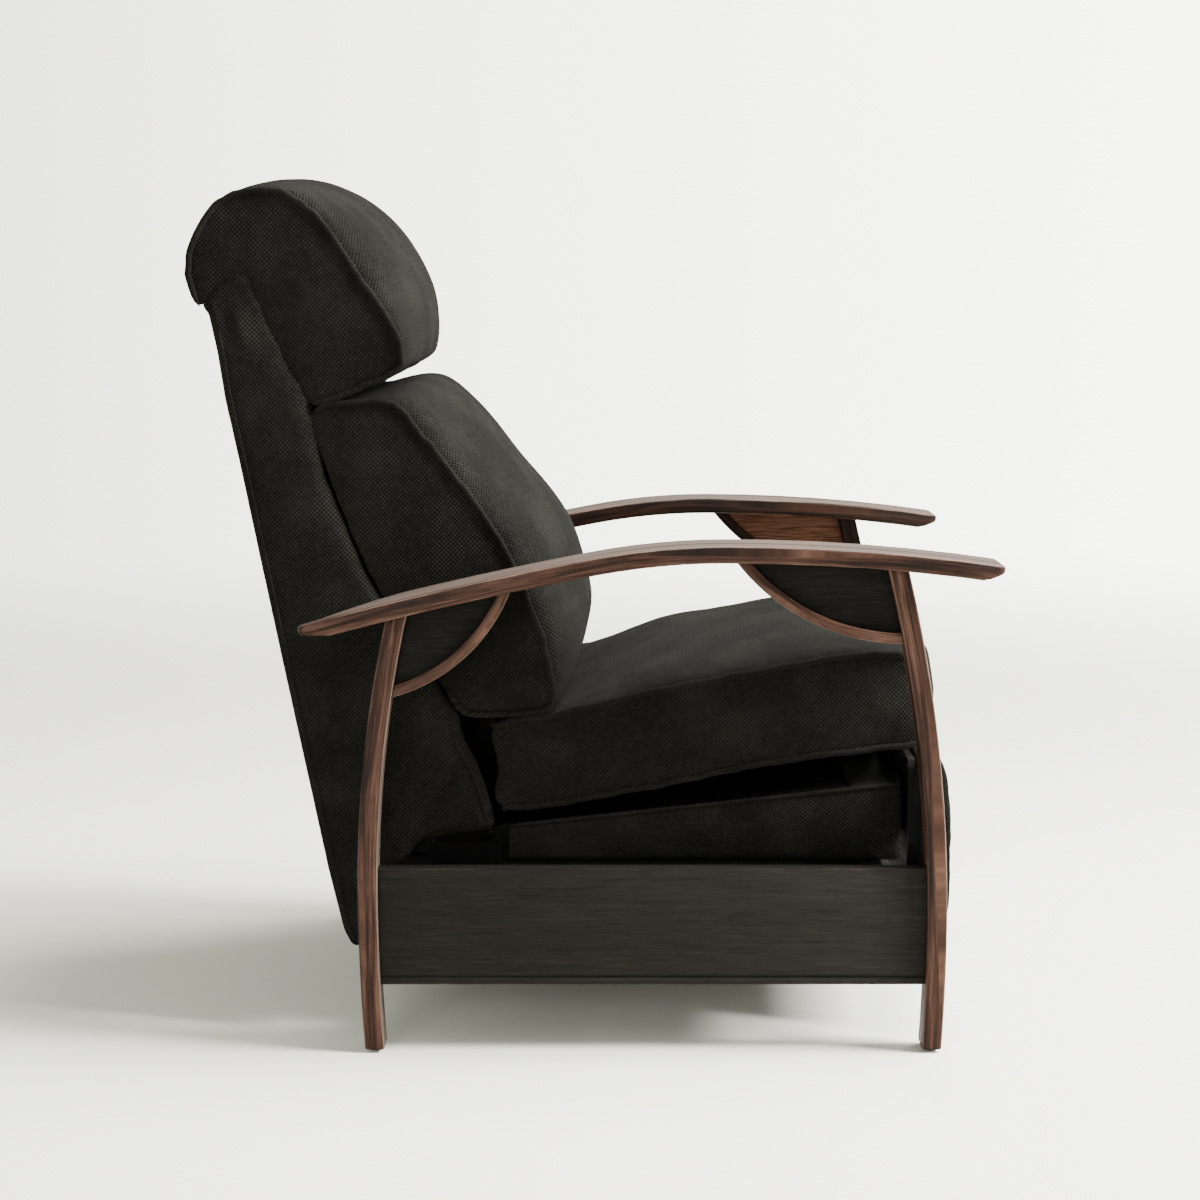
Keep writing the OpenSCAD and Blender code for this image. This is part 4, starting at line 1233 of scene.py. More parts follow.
@dataclass
class Pillow(Maker):
    """A stuffed cushion: rings from side seam to side seam, and a domed side face at each end.

    The seam rings stay where they are while the cloth between them fills, and welts follow them.
    """

    name: str
    body: str
    nodes: tuple[str, ...]
    side: np.ndarray
    mid: np.ndarray
    half: float = 0.2805
    dome: float = 0.004
    step: float = 0.012
    stations: int = 24
    swell: float = 0.5
    shrink: float = 0.003
    pressure: float = 4.0
    slack: float = 0.01
    proud: float = 0.0042
    sunk: float = 0.0020
    ease: float = 0.012
    welt: float = 0.0041
    fill: float = 0.7
    finish: str = "cloth"
    cross_seams: tuple[int, ...] = ()
    welt_span: tuple[int, int] | None = None
    pucker: float = 0.0009

    def counts(self) -> list[int]:
        """How many points each stretch of the ring gets."""
        a = np.linalg.norm(np.roll(self.side, -1, 0) - self.side, axis=1)
        b = np.linalg.norm(np.roll(self.mid, -1, 0) - self.mid, axis=1)
        return [max(1, int(round(d / self.step))) for d in (a + b) / 2]

    def starts(self, stretches: Sequence[int]) -> list[int]:
        """The ring point where each of these stretches starts."""
        first = np.concatenate([[0], np.cumsum(self.counts())])
        return [int(first[k]) for k in stretches]

    def crown(self, s: np.ndarray) -> np.ndarray:
        """How much of the way to the middle ring the skin has come, at share s from the seam."""
        return np.clip(1 - (1 - s) ** 2.2, 0, 1) ** self.swell

    def rings(self) -> np.ndarray:
        """The rings from the right seam to the left seam, as rings by points by x, y, z."""
        counts = self.counts()
        side = smooth_line(self.side, counts, True)
        mid = smooth_line(self.mid, counts, True)
        t = np.linspace(0, 1, self.stations)
        s = t**1.35
        c = self.crown(s)
        place = self.half * (1 - s)
        halves = [side + (mid - side) * k for k in c]
        made = [stand(-x, ring) for ring, x in zip(halves, place)]
        made += [stand(x, ring) for ring, x in zip(halves[-2::-1], place[-2::-1])]
        return np.array(made)

    def side_face(
        self, seam: np.ndarray, out: float
    ) -> tuple[np.ndarray, list[list[int]], list[int]]:
        """Closes a side face with a slightly domed net.

        Args:
            seam: The seam ring.
            out: -1 on the right side of the chair, 1 on the left.

        Returns:
            The net's points, its triangles and the net's number of each seam point.
        """
        flat = np.column_stack([-seam[:, 1], seam[:, 2]])
        places, triangles, rim = even_net(flat, self.step * 1.05, self.step * 0.7)
        away = np.maximum(depth_inside(places, flat)[0], 0)
        away[rim] = 0
        x = out * (self.half + self.dome * (1 - np.exp(-away / DOME_REACH)))
        return stand(x, places), triangles, rim

    def build(self) -> None:
        """Makes the cushion with its welts."""
        rings = self.rings()
        m, n = rings.shape[:2]
        points, faces, maps = loft(rings, caps=False)
        rows = [points]
        total = len(points)
        for seam_at, out in ((0, -1.0), (m - 1, 1.0)):
            net, triangles, rim = self.side_face(rings[seam_at], out)
            seam_of = {k: seam_at * n + i for i, k in enumerate(rim)}
            fresh = [k for k in range(len(net)) if k not in seam_of]
            number = {**seam_of, **{k: total + i for i, k in enumerate(fresh)}}
            rows.append(net[fresh])
            total += len(fresh)
            faces += [[number[k] for k in t] for t in triangles]
            maps += [[(float(-net[k][1]), float(net[k][2])) for k in t] for t in triangles]
        shell = add_mesh(self.name, np.vstack(rows), faces, maps)
        close_up(shell, merge=False)
        seams = {seam_at * n + i for seam_at in (0, m - 1) for i in range(n)}
        for k in self.starts(self.cross_seams):
            seams |= {row * n + k for row in range(m)}
        self.stuff(shell, sorted(seams), n, m)
        self.keep_seam_distance(shell, sorted(seams))
        subdivide_smooth(shell)
        self.wrinkle(shell)
        self.add_welts(shell, n, m)
        shade_smooth(shell)
        fit_out(shell, self.body, getattr(self.finishes, self.finish), self.nodes)

    def stuff(self, shell: bpy.types.Object, seams: list[int], n: int, m: int) -> None:
        """Fills the cushion with the cloth simulation, its seams held.

        Args:
            shell: The cushion.
            seams: Points on the seams.
            n: Points in a ring.
            m: Number of rings.
        """
        design = points_of(shell)
        normals = normals_of(shell)
        loose = np.ones(len(design))
        loose[seams] = 0
        set_points(shell, design - normals * (self.shrink * loose)[:, None])
        group = shell.vertex_groups.new(name="seams")
        group.add(seams, 1.0, "REPLACE")
        cloth = shell.modifiers.new("filling", "CLOTH")
        settings = {
            "quality": 5,
            "mass": 0.35,
            "tension_stiffness": 18,
            "compression_stiffness": 12,
            "shear_stiffness": 8,
            "bending_stiffness": 0.4,
            "use_pressure": True,
            "uniform_pressure_force": self.pressure,
            "shrink_min": -self.slack,
            "vertex_group_mass": "seams",
        }
        for key, value in settings.items():
            setattr(cloth.settings, key, value)
        cloth.settings.effector_weights.gravity = 0
        cloth.collision_settings.use_collision = False
        last_frame, calm_faces = 20, 0.6
        cloth.point_cache.frame_start = 1
        cloth.point_cache.frame_end = last_frame + 2
        scene = bpy.context.scene
        for step in range(1, last_frame + 1):
            scene.frame_set(step)
        apply_all(shell)
        scene.frame_set(1)
        gain = ((points_of(shell) - design) * normals).sum(1)
        least, largest = gain.min() / MM, gain.max() / MM
        most = np.where(gain > 0, self.proud, self.sunk)
        most[m * n :] *= calm_faces
        set_points(shell, design + normals * (most * np.tanh(gain / self.ease))[:, None])
        shell.vertex_groups.clear()
        log.info("%s: filled, %.1f to %.1f mm before easing", self.name, least, largest)

    @staticmethod
    def keep_seam_distance(shell: bpy.types.Object, seams: list[int]) -> None:
        """Keeps how far each point lies from a seam, for the puckers.

        Args:
            shell: The cushion.
            seams: Points on the seams.
        """
        points = points_of(shell)
        held = points[seams]
        batch = 2000
        away = np.zeros(len(points))
        for first in range(0, len(points), batch):
            block = points[first : first + batch, None, :]
            away[first : first + batch] = np.sqrt(((block - held[None]) ** 2).sum(2)).min(1)
        write_numbers(shell, SEAM_AWAY, away)

    def wrinkle(self, shell: bpy.types.Object) -> None:
        """Adds the puckers beside the seams and the slight unevenness of real stuffing."""
        away = read_numbers(shell, SEAM_AWAY)
        points, normals = points_of(shell), normals_of(shell)
        reach, bare, calm, uneven = 0.028, 0.006, 0.02, 0.0011
        near = np.exp(-away / reach) * np.clip(away / bare, 0, 1)
        fine = lumps(points, 0.016, 3.1)
        slow = lumps(points, 0.070, 8.7)
        lift = self.pucker * 2.2 * near * (fine + 0.5 * slow)
        lift += uneven * slow * np.clip(away / calm, 0, 1)
        set_points(shell, points + normals * lift[:, None])

    def add_welts(self, shell: bpy.types.Object, n: int, m: int) -> None:
        """Sews a welt along each seam.

        Args:
            shell: The filled cushion.
            n: Points in a ring.
            m: Number of rings.
        """
        if self.welt <= 0:
            return
        points, normals = points_of(shell), normals_of(shell)
        proud_share, closed = 0.45, self.welt_span is None
        for name, ids in self.welt_paths(n, m):
            path = points[ids] + normals[ids] * self.welt * proud_share
            path = resample(path, SEAM_STEP, closed=closed)
            self.sew(f"{self.name}_welt_{name}", self.body, path, self.welt, closed, 10)

    def welt_paths(self, n: int, m: int) -> list[tuple[str, list[int]]]:
        """The names and points of the welts.

        Args:
            n: Points in a ring.
            m: Number of rings.

        Returns:
            A name and point numbers for each welt.
        """
        ids = list(range(n))
        if self.welt_span:
            first, last = self.starts(self.welt_span)
            ids = ids[first:] + ids[: last + 1] if first > last else ids[first : last + 1]
        return [("right", ids), ("left", [(m - 1) * n + i for i in ids])]


@dataclass
class BoxCushion(Pillow):
    """A boxed cushion: one welt round its top face and one round its bottom face."""

    def welt_paths(self, n: int, m: int) -> list[tuple[str, list[int]]]:
        """The top welt and the bottom welt, each round all four sides.

        Args:
            n: Points in a ring.
            m: Number of rings.

        Returns:
            A name and point numbers for each welt.
        """
        low_rear, low_front, top_front, top_rear = self.starts(self.cross_seams)
        paths = []
        for name, first, last in (("bottom", low_rear, low_front), ("top", top_front, top_rear)):
            right = list(range(first, last + 1))
            far_end = [row * n + last for row in range(1, m - 1)]
            left = [(m - 1) * n + i for i in range(last, first - 1, -1)]
            near_end = [row * n + first for row in range(m - 2, 0, -1)]
            paths.append((name, right + far_end + left + near_end))
        return paths


@dataclass
class PaddedPlate(Maker):
    """A thin upholstered panel in the side plane: rounded edges, a crown, folds and sewn seams."""

    name: str
    body: str
    nodes: tuple[str, ...]
    outline: np.ndarray
    inner: float
    outer: float
    crown: float = 0.0042
    roundness: tuple[Pair, ...] = ((0.0, 0.005), (1.0, 0.005))
    net: float = 0.0062
    edge: float = 0.0085
    seam_depth: float = 0.0016
    seam_width: float = 0.005
    ridge: float = 0.0019
    ridge_proud: float = 0.0006
    folds: tuple[Fold, ...] = ()
    seams: tuple[np.ndarray, ...] = ()
    fill: float = 0.3

    def face(self, places: np.ndarray, ring: np.ndarray) -> np.ndarray:
        """How far out the panel's face lies at each place.

        Args:
            places: Rows of forward, up.
            ring: The panel's edge.

        Returns:
            One distance from the chair's middle for each place.
        """
        away, near = depth_inside(places, ring)
        away = np.clip(away, 0, 1)
        reach = np.interp(near / len(ring), *zip(*self.roundness))
        t = np.clip(1 - away / reach, 0, 1)
        outer = self.outer - np.minimum(reach, self.edge) * (1 - np.sqrt(1 - t * t))
        outer += self.crown * (1 - np.exp(-away / DOME_REACH))
        inside = np.clip(away / 0.012, 0, 1)
        for fold in self.folds:
            outer += fold.lift(places) * inside
        for seam in self.seams:
            groove = (line_distance(places, seam) / self.seam_width) ** 2
            outer -= self.seam_depth * np.exp(-groove)
        spots = stand(outer, places)
        uneven = lumps(spots, 0.075, 5.3) * 0.0013 + lumps(spots, 0.03, 1.3) * 0.0004
        return outer + uneven * inside

    def build(self, mirrored: bool = False) -> None:
        """Makes the panel on the left side, or its mirror image on the right.

        Args:
            mirrored: Makes the right panel.
        """
        ring = resample(self.outline, 0.006, closed=True)
        n = len(ring)
        places, triangles, rim = even_net(ring, self.net, self.net * 0.9)
        outer = self.face(places, ring)
        reach = np.interp(np.arange(n) / n, *zip(*self.roundness))
        outer[rim] = self.outer - np.minimum(reach, self.edge)
        count = len(places)
        faces = triangles + [[count + k for k in t[::-1]] for t in triangles]
        flat = [(float(f), float(z)) for f, z in places]
        maps = [[flat[k] for k in t] for t in triangles]
        maps += [m[::-1] for m in maps]
        thick = self.outer - self.inner
        for i in range(n):
            a, b = rim[i], rim[(i + 1) % n]
            faces.append([a, b, count + b, count + a])
            (fa, za), (fb, zb) = flat[a], flat[b]
            maps.append([(fa, za), (fb, zb), (fb - thick, zb), (fa - thick, za)])
        points = np.vstack([stand(outer, places), stand(self.inner, places)])
        sign = -1 if mirrored else 1
        points[:, 0] *= sign
        panel = add_mesh(self.name, points, faces, maps)
        close_up(panel)
        subdivide_smooth(panel)
        shade_smooth(panel, 75)
        fit_out(panel, self.body, self.finishes.cloth, self.nodes)
        for k, seam in enumerate(self.seams):
            line = resample(seam, SEAM_STEP)
            x = (self.face(line, ring) + self.ridge_proud) * sign
            self.sew(f"{self.name}_seam_{k + 1}", self.body, stand(x, line), self.ridge)


@dataclass
class SoftParts(Maker):
    """Every upholstered piece, with its sizes in metres and its outlines in shares."""

    half: float = 0.285
    seam_half: float = 0.2805
    back: Outline = field(default_factory=lambda: Outline(-0.499, 0.110, 0.497, 0.960))
    seat: Outline = field(default_factory=lambda: Outline(-0.124, 0.283, 0.564, 0.229))
    pad: Outline = field(default_factory=lambda: Outline(0.4053, 0.135, 0.052, 0.221))

    def head(self) -> Pillow:
        """The head roll."""
        side_shares = [
            (0.522, 0.754), (0.538, 0.774), (0.514, 0.812), (0.442, 0.868), (0.366, 0.928),
            (0.308, 0.962), (0.238, 0.984), (0.160, 0.984), (0.084, 0.968), (0.028, 0.928),
            (0.008, 0.878), (0.038, 0.835), (0.106, 0.866), (0.152, 0.872), (0.197, 0.820),
            (0.257, 0.758), (0.307, 0.712), (0.420, 0.728),
        ]
        mid_shares = [
            (0.548, 0.757), (0.578, 0.771), (0.588, 0.822), (0.556, 0.884), (0.490, 0.938),
            (0.396, 0.982), (0.290, 1.003), (0.180, 1.000), (0.072, 0.970), (0.016, 0.924),
            (0.000, 0.884), (0.024, 0.846), (0.090, 0.858), (0.144, 0.862), (0.197, 0.818),
            (0.257, 0.758), (0.307, 0.712), (0.430, 0.732),
        ]
        return Pillow(
            finishes=self.finishes,
            name="head_roll",
            body="back",
            nodes=("head_cushion",),
            side=self.back.at(side_shares),
            mid=self.back.at(mid_shares),
            welt_span=(16, 11),
            half=self.seam_half,
            fill=0.75,
        )

    def lumbar(self) -> Pillow:
        """The lumbar pillow."""
        side_shares = [
            (0.684, 0.310), (0.782, 0.308), (0.882, 0.314), (0.912, 0.333), (0.882, 0.408),
            (0.798, 0.516), (0.702, 0.594), (0.590, 0.669), (0.514, 0.712), (0.420, 0.716),
            (0.309, 0.701), (0.350, 0.623), (0.450, 0.495), (0.553, 0.406), (0.634, 0.344),
        ]
        mid_shares = [
            (0.694, 0.316), (0.802, 0.318), (0.920, 0.326), (0.972, 0.360), (0.998, 0.432),
            (0.938, 0.538), (0.808, 0.623), (0.684, 0.702), (0.582, 0.739), (0.432, 0.718),
            (0.313, 0.699), (0.350, 0.623), (0.450, 0.495), (0.553, 0.406), (0.640, 0.346),
        ]
        return Pillow(
            finishes=self.finishes,
            name="lumbar_pillow",
            body="back",
            nodes=("lumbar_cushion",),
            side=self.back.at(side_shares),
            mid=self.back.at(mid_shares),
            welt_span=(14, 10),
            half=self.seam_half,
            fill=0.75,
        )

    def seat_cushion(self) -> BoxCushion:
        """The boxed seat cushion."""
        side_shares = [
            (0.028, 0.022), (0.310, 0.118), (0.584, 0.258), (0.806, 0.336), (0.936, 0.376),
            (0.938, 0.500), (0.926, 0.700), (0.906, 0.874), (0.756, 0.858), (0.550, 0.764),
            (0.352, 0.672), (0.142, 0.552), (0.004, 0.478), (0.012, 0.260),
        ]
        mid_shares = [
            (0.036, 0.006), (0.310, 0.066), (0.584, 0.184), (0.806, 0.276), (0.964, 0.392),
            (1.008, 0.500), (1.012, 0.650), (0.978, 0.856), (0.780, 0.990), (0.560, 0.914),
            (0.370, 0.824), (0.146, 0.548), (0.012, 0.508), (0.018, 0.260),
        ]
        return BoxCushion(
            finishes=self.finishes,
            name="seat_pillow",
            body="seat_carriage",
            nodes=("seat_cushion",),
            side=self.seat.at(side_shares),
            mid=self.seat.at(mid_shares),
            half=self.seam_half,
            cross_seams=(0, 4, 7, 12),
            fill=0.65,
        )

    def edge_top(self, f: float) -> float:
        """Height of the seam between the skirt and the deck, a straight line up to the front."""
        return 0.2655 + 0.1098 * (f + 0.1026)

    def deck(self) -> tuple[Pillow, Pillow]:
        """The padded deck under the seat cushion: lining behind, an upholstered lip in front."""
        stops = [-0.112, 0.02, 0.14, 0.26, 0.316, 0.322, 0.352, 0.374, 0.3835]
        crown = [0.003, 0.008, 0.012, 0.016, 0.018, 0.016, 0.023, 0.018, 0.002]
        side = [(f, self.edge_top(f) + 0.0006) for f in stops]
        mid = [(f, self.edge_top(f) + rise) for f, rise in zip(stops, crown)]
        made = []
        for name, nodes, first, last, finish in (
            ("deck_pad", ("seat_deck",), 0, 5, "decking"),
            ("deck_lip", (), 5, 9, "cloth"),
        ):
            (front, front_z), (rear, rear_z) = side[last - 1], side[first]
            under = [(front, front_z - 0.018), (rear, rear_z - 0.014)]
            made.append(
                Pillow(
                    finishes=self.finishes,
                    name=name,
                    body="seat_carriage",
                    nodes=nodes,
                    side=np.array(side[first:last] + under),
                    mid=np.array(mid[first:last] + under),
                    half=0.2795,
                    dome=0.0008,
                    step=0.010,
                    welt=0.0,
                    swell=0.7,
                    pressure=1.0,
                    proud=0.002,
                    sunk=0.001,
                    shrink=0.001,
                    slack=0.0,
                    fill=0.5,
                    pucker=0.0014,
                    finish=finish,
                )
            )
        return made[0], made[1]

    def footrest_pad(self) -> Pillow:
        """The pad on the footrest board."""
        side_shares = [
            (0.000, 0.060), (0.000, 0.030), (0.050, 0.010), (0.300, 0.004), (0.660, 0.020),
            (0.830, 0.110), (0.850, 0.440), (0.800, 0.780), (0.640, 0.950), (0.300, 0.996),
            (0.050, 0.990), (0.000, 0.970), (0.000, 0.940), (0.000, 0.500),
        ]
        mid_shares = [
            (0.000, 0.060), (0.000, 0.030), (0.050, 0.004), (0.340, 0.000), (0.780, 0.016),
            (0.970, 0.110), (0.998, 0.440), (0.930, 0.760), (0.760, 0.940), (0.340, 0.996),
            (0.050, 0.996), (0.000, 0.970), (0.000, 0.940), (0.000, 0.500),
        ]
        return Pillow(
            finishes=self.finishes,
            name="footrest_cushion",
            body="footrest",
            nodes=("footrest_pad",),
            side=self.pad.at(side_shares),
            mid=self.pad.at(mid_shares),
            half=0.2815,
            dome=0.002,
            step=0.009,
            pressure=2.0,
            proud=0.0025,
            sunk=0.0010,
            slack=0.005,
            welt=0.0,
            fill=0.55,
        )

    def back_shares(self) -> tuple[list[Pair], list[Pair], list[Pair], list[Pair]]:
        """Shares of the back's side outline: rear, tail, underside and front."""
        rear_shares = [
            (0.058, 0.828), (0.078, 0.780), (0.096, 0.718), (0.128, 0.640), (0.176, 0.515),
            (0.224, 0.392), (0.266, 0.285), (0.300, 0.200), (0.338, 0.103), (0.376, 0.022),
        ]
        tail_shares = [(0.396, 0.002), (0.412, 0.000), (0.428, 0.008)]
        under_shares = [
            (0.470, 0.060), (0.513, 0.122), (0.570, 0.144), (0.650, 0.150), (0.752, 0.156),
        ]
        front_shares = [
            (0.762, 0.168), (0.744, 0.206), (0.716, 0.245), (0.678, 0.284), (0.672, 0.308),
            (0.628, 0.342), (0.546, 0.406), (0.442, 0.495), (0.341, 0.623), (0.299, 0.704),
            (0.254, 0.755), (0.194, 0.816), (0.150, 0.868), (0.110, 0.862),
        ]
        return rear_shares, tail_shares, under_shares, front_shares

    def side_panel(self, side: str) -> PaddedPlate:
        """The upholstered side of the back, with its seams near the rear and the lower front edge.

        Args:
            side: left or right.

        Returns:
            The panel.
        """
        rear, tail, under, front = self.back_shares()
        hem = [
            (0.474, 0.060), (0.511, 0.092), (0.538, 0.115), (0.556, 0.132), (0.584, 0.144),
            *under[3:],
        ]
        crown = [
            (0.315, 0.698), (0.295, 0.735), (0.264, 0.757), (0.208, 0.822), (0.166, 0.876),
            (0.140, 0.886), (0.104, 0.882), (0.070, 0.866), (0.044, 0.846), (0.045, 0.834),
        ]
        outline = self.back.at([*rear, *tail, *hem, *front[:-5], *crown])
        edge = smooth_line(self.back.at([*rear, *tail]), [4] * (len(rear) + len(tail) - 1), False)
        lip = smooth_line(self.back.at([*hem[-1:], *front[:6]]), [4] * 6, False)
        return PaddedPlate(
            finishes=self.finishes,
            name=f"back_cheek_{side}",
            body="back",
            nodes=(f"back_side_panel_{side}",),
            outline=outline,
            inner=0.2725,
            outer=0.2850,
            roundness=(
                (0.0, 0.004), (0.44, 0.004), (0.49, 0.007), (0.59, 0.008), (0.62, 0.010),
                (0.70, 0.012), (0.76, 0.018), (0.93, 0.018), (0.95, 0.014), (1.0, 0.006),
            ),
            seams=(self.inset_line(edge, 0.0085)[2:], self.inset_line(lip, 0.0105)[2:-3]),
            folds=(
                Fold((-0.470, 0.932), (-0.404, 0.930), -0.0046, 0.030),
                Fold((-0.426, 0.930), (-0.366, 0.800), -0.0030, 0.013),
                Fold((-0.452, 0.912), (-0.440, 0.868), -0.0042, 0.009),
                Fold((-0.436, 0.902), (-0.424, 0.862), 0.0016, 0.009),
                Fold((-0.461, 0.880), (-0.447, 0.852), 0.0014, 0.007),
                Fold((-0.400, 0.860), (-0.356, 0.775), 0.0022, 0.016),
                Fold((-0.166, 0.342), (-0.230, 0.252), -0.0066, 0.0075),
                Fold((-0.188, 0.330), (-0.222, 0.268), 0.0034, 0.010),
                Fold((-0.156, 0.318), (-0.196, 0.256), 0.0030, 0.011),
                Fold((-0.236, 0.268), (-0.266, 0.215), -0.0036, 0.008),
            ),
        )

    @staticmethod
    def drape(
        name: str,
        rings: Sequence[np.ndarray],
        body: str,
        material: bpy.types.Material,
        *layers: Place,
        sharp: float = 60,
        nodes: Sequence[str] = (),
    ) -> bpy.types.Object:
        """Makes a cloth cover from rings, with soft lumps in it.

        Args:
            name: The piece's name.
            rings: Its rings of x, y, z.
            body: The body it rides on.
            material: Its cloth.
            *layers: The size, the seed and the height of each layer of lumps.
            sharp: Edges that turn more than this many degrees stay sharp.
            nodes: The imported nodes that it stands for.

        Returns:
            The cover.
        """
        cover = add_mesh(name, *loft(np.array(rings)))
        close_up(cover)
        if layers:
            roughen(cover, *layers)
        shade_smooth(cover, sharp)
        fit_out(cover, body, material, nodes)
        return cover

    def back_cover(self) -> None:
        """The rear cover of the back, slightly crowned across the chair."""
        rear, tail, under, _ = self.back_shares()
        path = self.back.at(rear + tail + under)
        path = resample(smooth_line(path, [6] * (len(path) - 1), False), 0.014)
        inward = leftward(path)
        run = running_length(path)
        thick = 0.011 * np.clip(np.minimum(run, run[-1] - run) / 0.02, 0.35, 1)
        ring = np.vstack([path, (path + inward * thick[:, None])[::-1]])
        bulge = np.zeros(len(ring))
        bulge[: len(path)] = np.sin(np.clip(run / (run[-1] * 0.75), 0, 1) * math.pi) ** 0.6
        outward = np.vstack([-inward, np.zeros_like(inward)])
        half = 0.2715
        edge = np.array([0.2600, 0.2675, 0.2705, half])
        rings = []
        for x in np.concatenate([-edge[::-1], np.linspace(-0.245, 0.245, 23), edge]):
            s = 1 - abs(x) / half
            crown = 0.006 * bulge * np.clip(1 - (1 - s) ** 2.5, 0, 1)
            soft = -0.003 * np.clip(1 - s / 0.02, 0, 1) * (np.arange(len(ring)) < len(path))
            rings.append(stand(x, ring + outward * (crown + soft)[:, None]))
        cloth, lump = self.finishes.cloth, (0.11, 2.2, 0.001)
        cover = self.drape("back_cover", rings, "back", cloth, lump, nodes=["back_outer_panel"])

    def inner_cover(self) -> None:
        """The cloth over the front of the back's frame, seen when the back leans."""
        shares = [
            (0.744, 0.160), (0.736, 0.200), (0.708, 0.240), (0.664, 0.285), (0.610, 0.335),
            (0.536, 0.400), (0.434, 0.488), (0.334, 0.615), (0.300, 0.690),
        ]
        path = resample(smooth_line(self.back.at(shares), [6] * 8, False), 0.014)
        inward = leftward(path)
        half, near, far = 0.2735, 0.0035, 0.0105
        rings = []
        for x in np.linspace(-half, half, 40):
            sag = 0.0045 * (1 - (x / half) ** 2)
            ring = np.vstack([path + inward * (near + sag), (path + inward * (far + sag))[::-1]])
            rings.append(stand(x, ring))
        lump = (0.06, 9.2, 0.0012)
        cover = self.drape("back_inner_cover", rings, "back", self.finishes.cloth, lump)

    def skirt(self) -> None:
        """The upholstered skirt round the front and sides of the seat box, with its seams."""
        rear, front, corner, side = -0.1035, 0.3878, 0.008, self.half
        low, skin, thick = 0.2226, 0.0045, 0.0072
        path = [(-side, f, -1.0, 0.0) for f in np.linspace(rear, front - corner, 60)]
        bends = [(math.sin(a), math.cos(a)) for a in np.radians(np.linspace(15, 75, 5))]
        path += [(-side + corner * (1 - c), front - corner * (1 - s), -c, s) for s, c in bends]
        path += [(x, front, 0.0, 1.0) for x in np.linspace(-side + corner, side - corner, 60)]
        path += [(-x, f, -nx, nf) for x, f, nx, nf in reversed(path[:65])]
        rings = []
        for x, f, nx, nf in path:
            top = self.edge_top(f)
            ring = []
            for t in np.linspace(0, 1, 16):
                bulge = 0.0022 * math.sin(math.pi * t) ** 0.7 - 0.0030 * abs(2 * t - 1) ** 14
                ring.append((bulge, low + (top - low) * t))
            ring += [(-skin, top - 0.0004), (-thick, top - 0.003), (-thick, (top + low) / 2)]
            ring += [(-thick, low + 0.001), (-skin, low)]
            rings.append([(x + nx * d, -(f + nf * d), z) for d, z in ring])
        body, nodes = "seat_carriage", ["seat_borders"]
        broad, fine = (0.045, 6.6, 0.0011), (0.014, 2.6, 0.0004)
        skirt = self.drape("seat_skirt", rings, body, self.finishes.cloth, broad, fine, nodes=nodes)
        inset = 0.0006
        line = [
            (x - nx * inset, -(f - nf * inset), self.edge_top(f) + inset) for x, f, nx, nf in path
        ]
        self.sew("skirt_top_seam", "seat_carriage", resample(np.array(line), SEAM_STEP), 0.0027)
        for name, sign in (("right", -1), ("left", 1)):
            x, f = sign * (side - corner * 0.3), front - corner * 0.3
            rows = np.array([(x, -f, z) for z in np.linspace(0.2245, self.edge_top(f), 14)])
            self.sew(f"skirt_corner_seam_{name}", "seat_carriage", rows, 0.0020)

    def lining(self) -> None:
        """The black lining that closes the skirt behind, hanging a little below the seat box."""
        half, rear, tail, thick = 0.2828, -0.1178, -0.2065, 0.0018
        sides = [(-half, f) for f in np.linspace(tail, -0.1040, 16)]
        for name, line in (
            ("right", sides),
            ("left", [(-x, f) for x, f in sides]),
            ("rear", [(x, rear) for x in np.linspace(-half + 0.006, half - 0.006, 60)]),
        ):
            rings = []
            for k, (x, f) in enumerate(line):
                low = 0.2228 if f > -0.1125 else 0.2070 + 0.0015 * math.sin(k * 0.9)
                top = 0.2450 if f < -0.1185 else self.edge_top(f) - 0.003
                wave = 0.0010 * math.sin(k * 1.3)
                up = np.linspace(low, top, 7)
                ring = [(0.0, z) for z in up] + [(thick, z) for z in np.linspace(top, low, 7)]
                if name == "rear":
                    rings.append([(x, -(f - d - wave * 0.5), z) for d, z in ring])
                else:
                    out = math.copysign(1.0, x)
                    rings.append([(x + out * (d + wave * 0.5), -f, z) for d, z in ring])
            label, black = f"seat_lining_{name}", self.finishes.lining
            strip = self.drape(label, rings, "seat_carriage", black, sharp=40)

    @staticmethod
    def inset_line(line: np.ndarray, depth: float) -> np.ndarray:
        """A line moved to its left by depth."""
        return line + depth * leftward(line)

    def build(self) -> None:
        """Makes every soft piece."""
        for pillow in (self.head(), self.lumbar(), self.seat_cushion(), *self.deck()):
            pillow.build()
        self.footrest_pad().build()
        self.side_panel("left").build()
        self.side_panel("right").build(mirrored=True)
        self.back_cover()
        self.inner_cover()
        self.skirt()
        self.lining()


# ---------------------------------------------------------------- wooden pieces


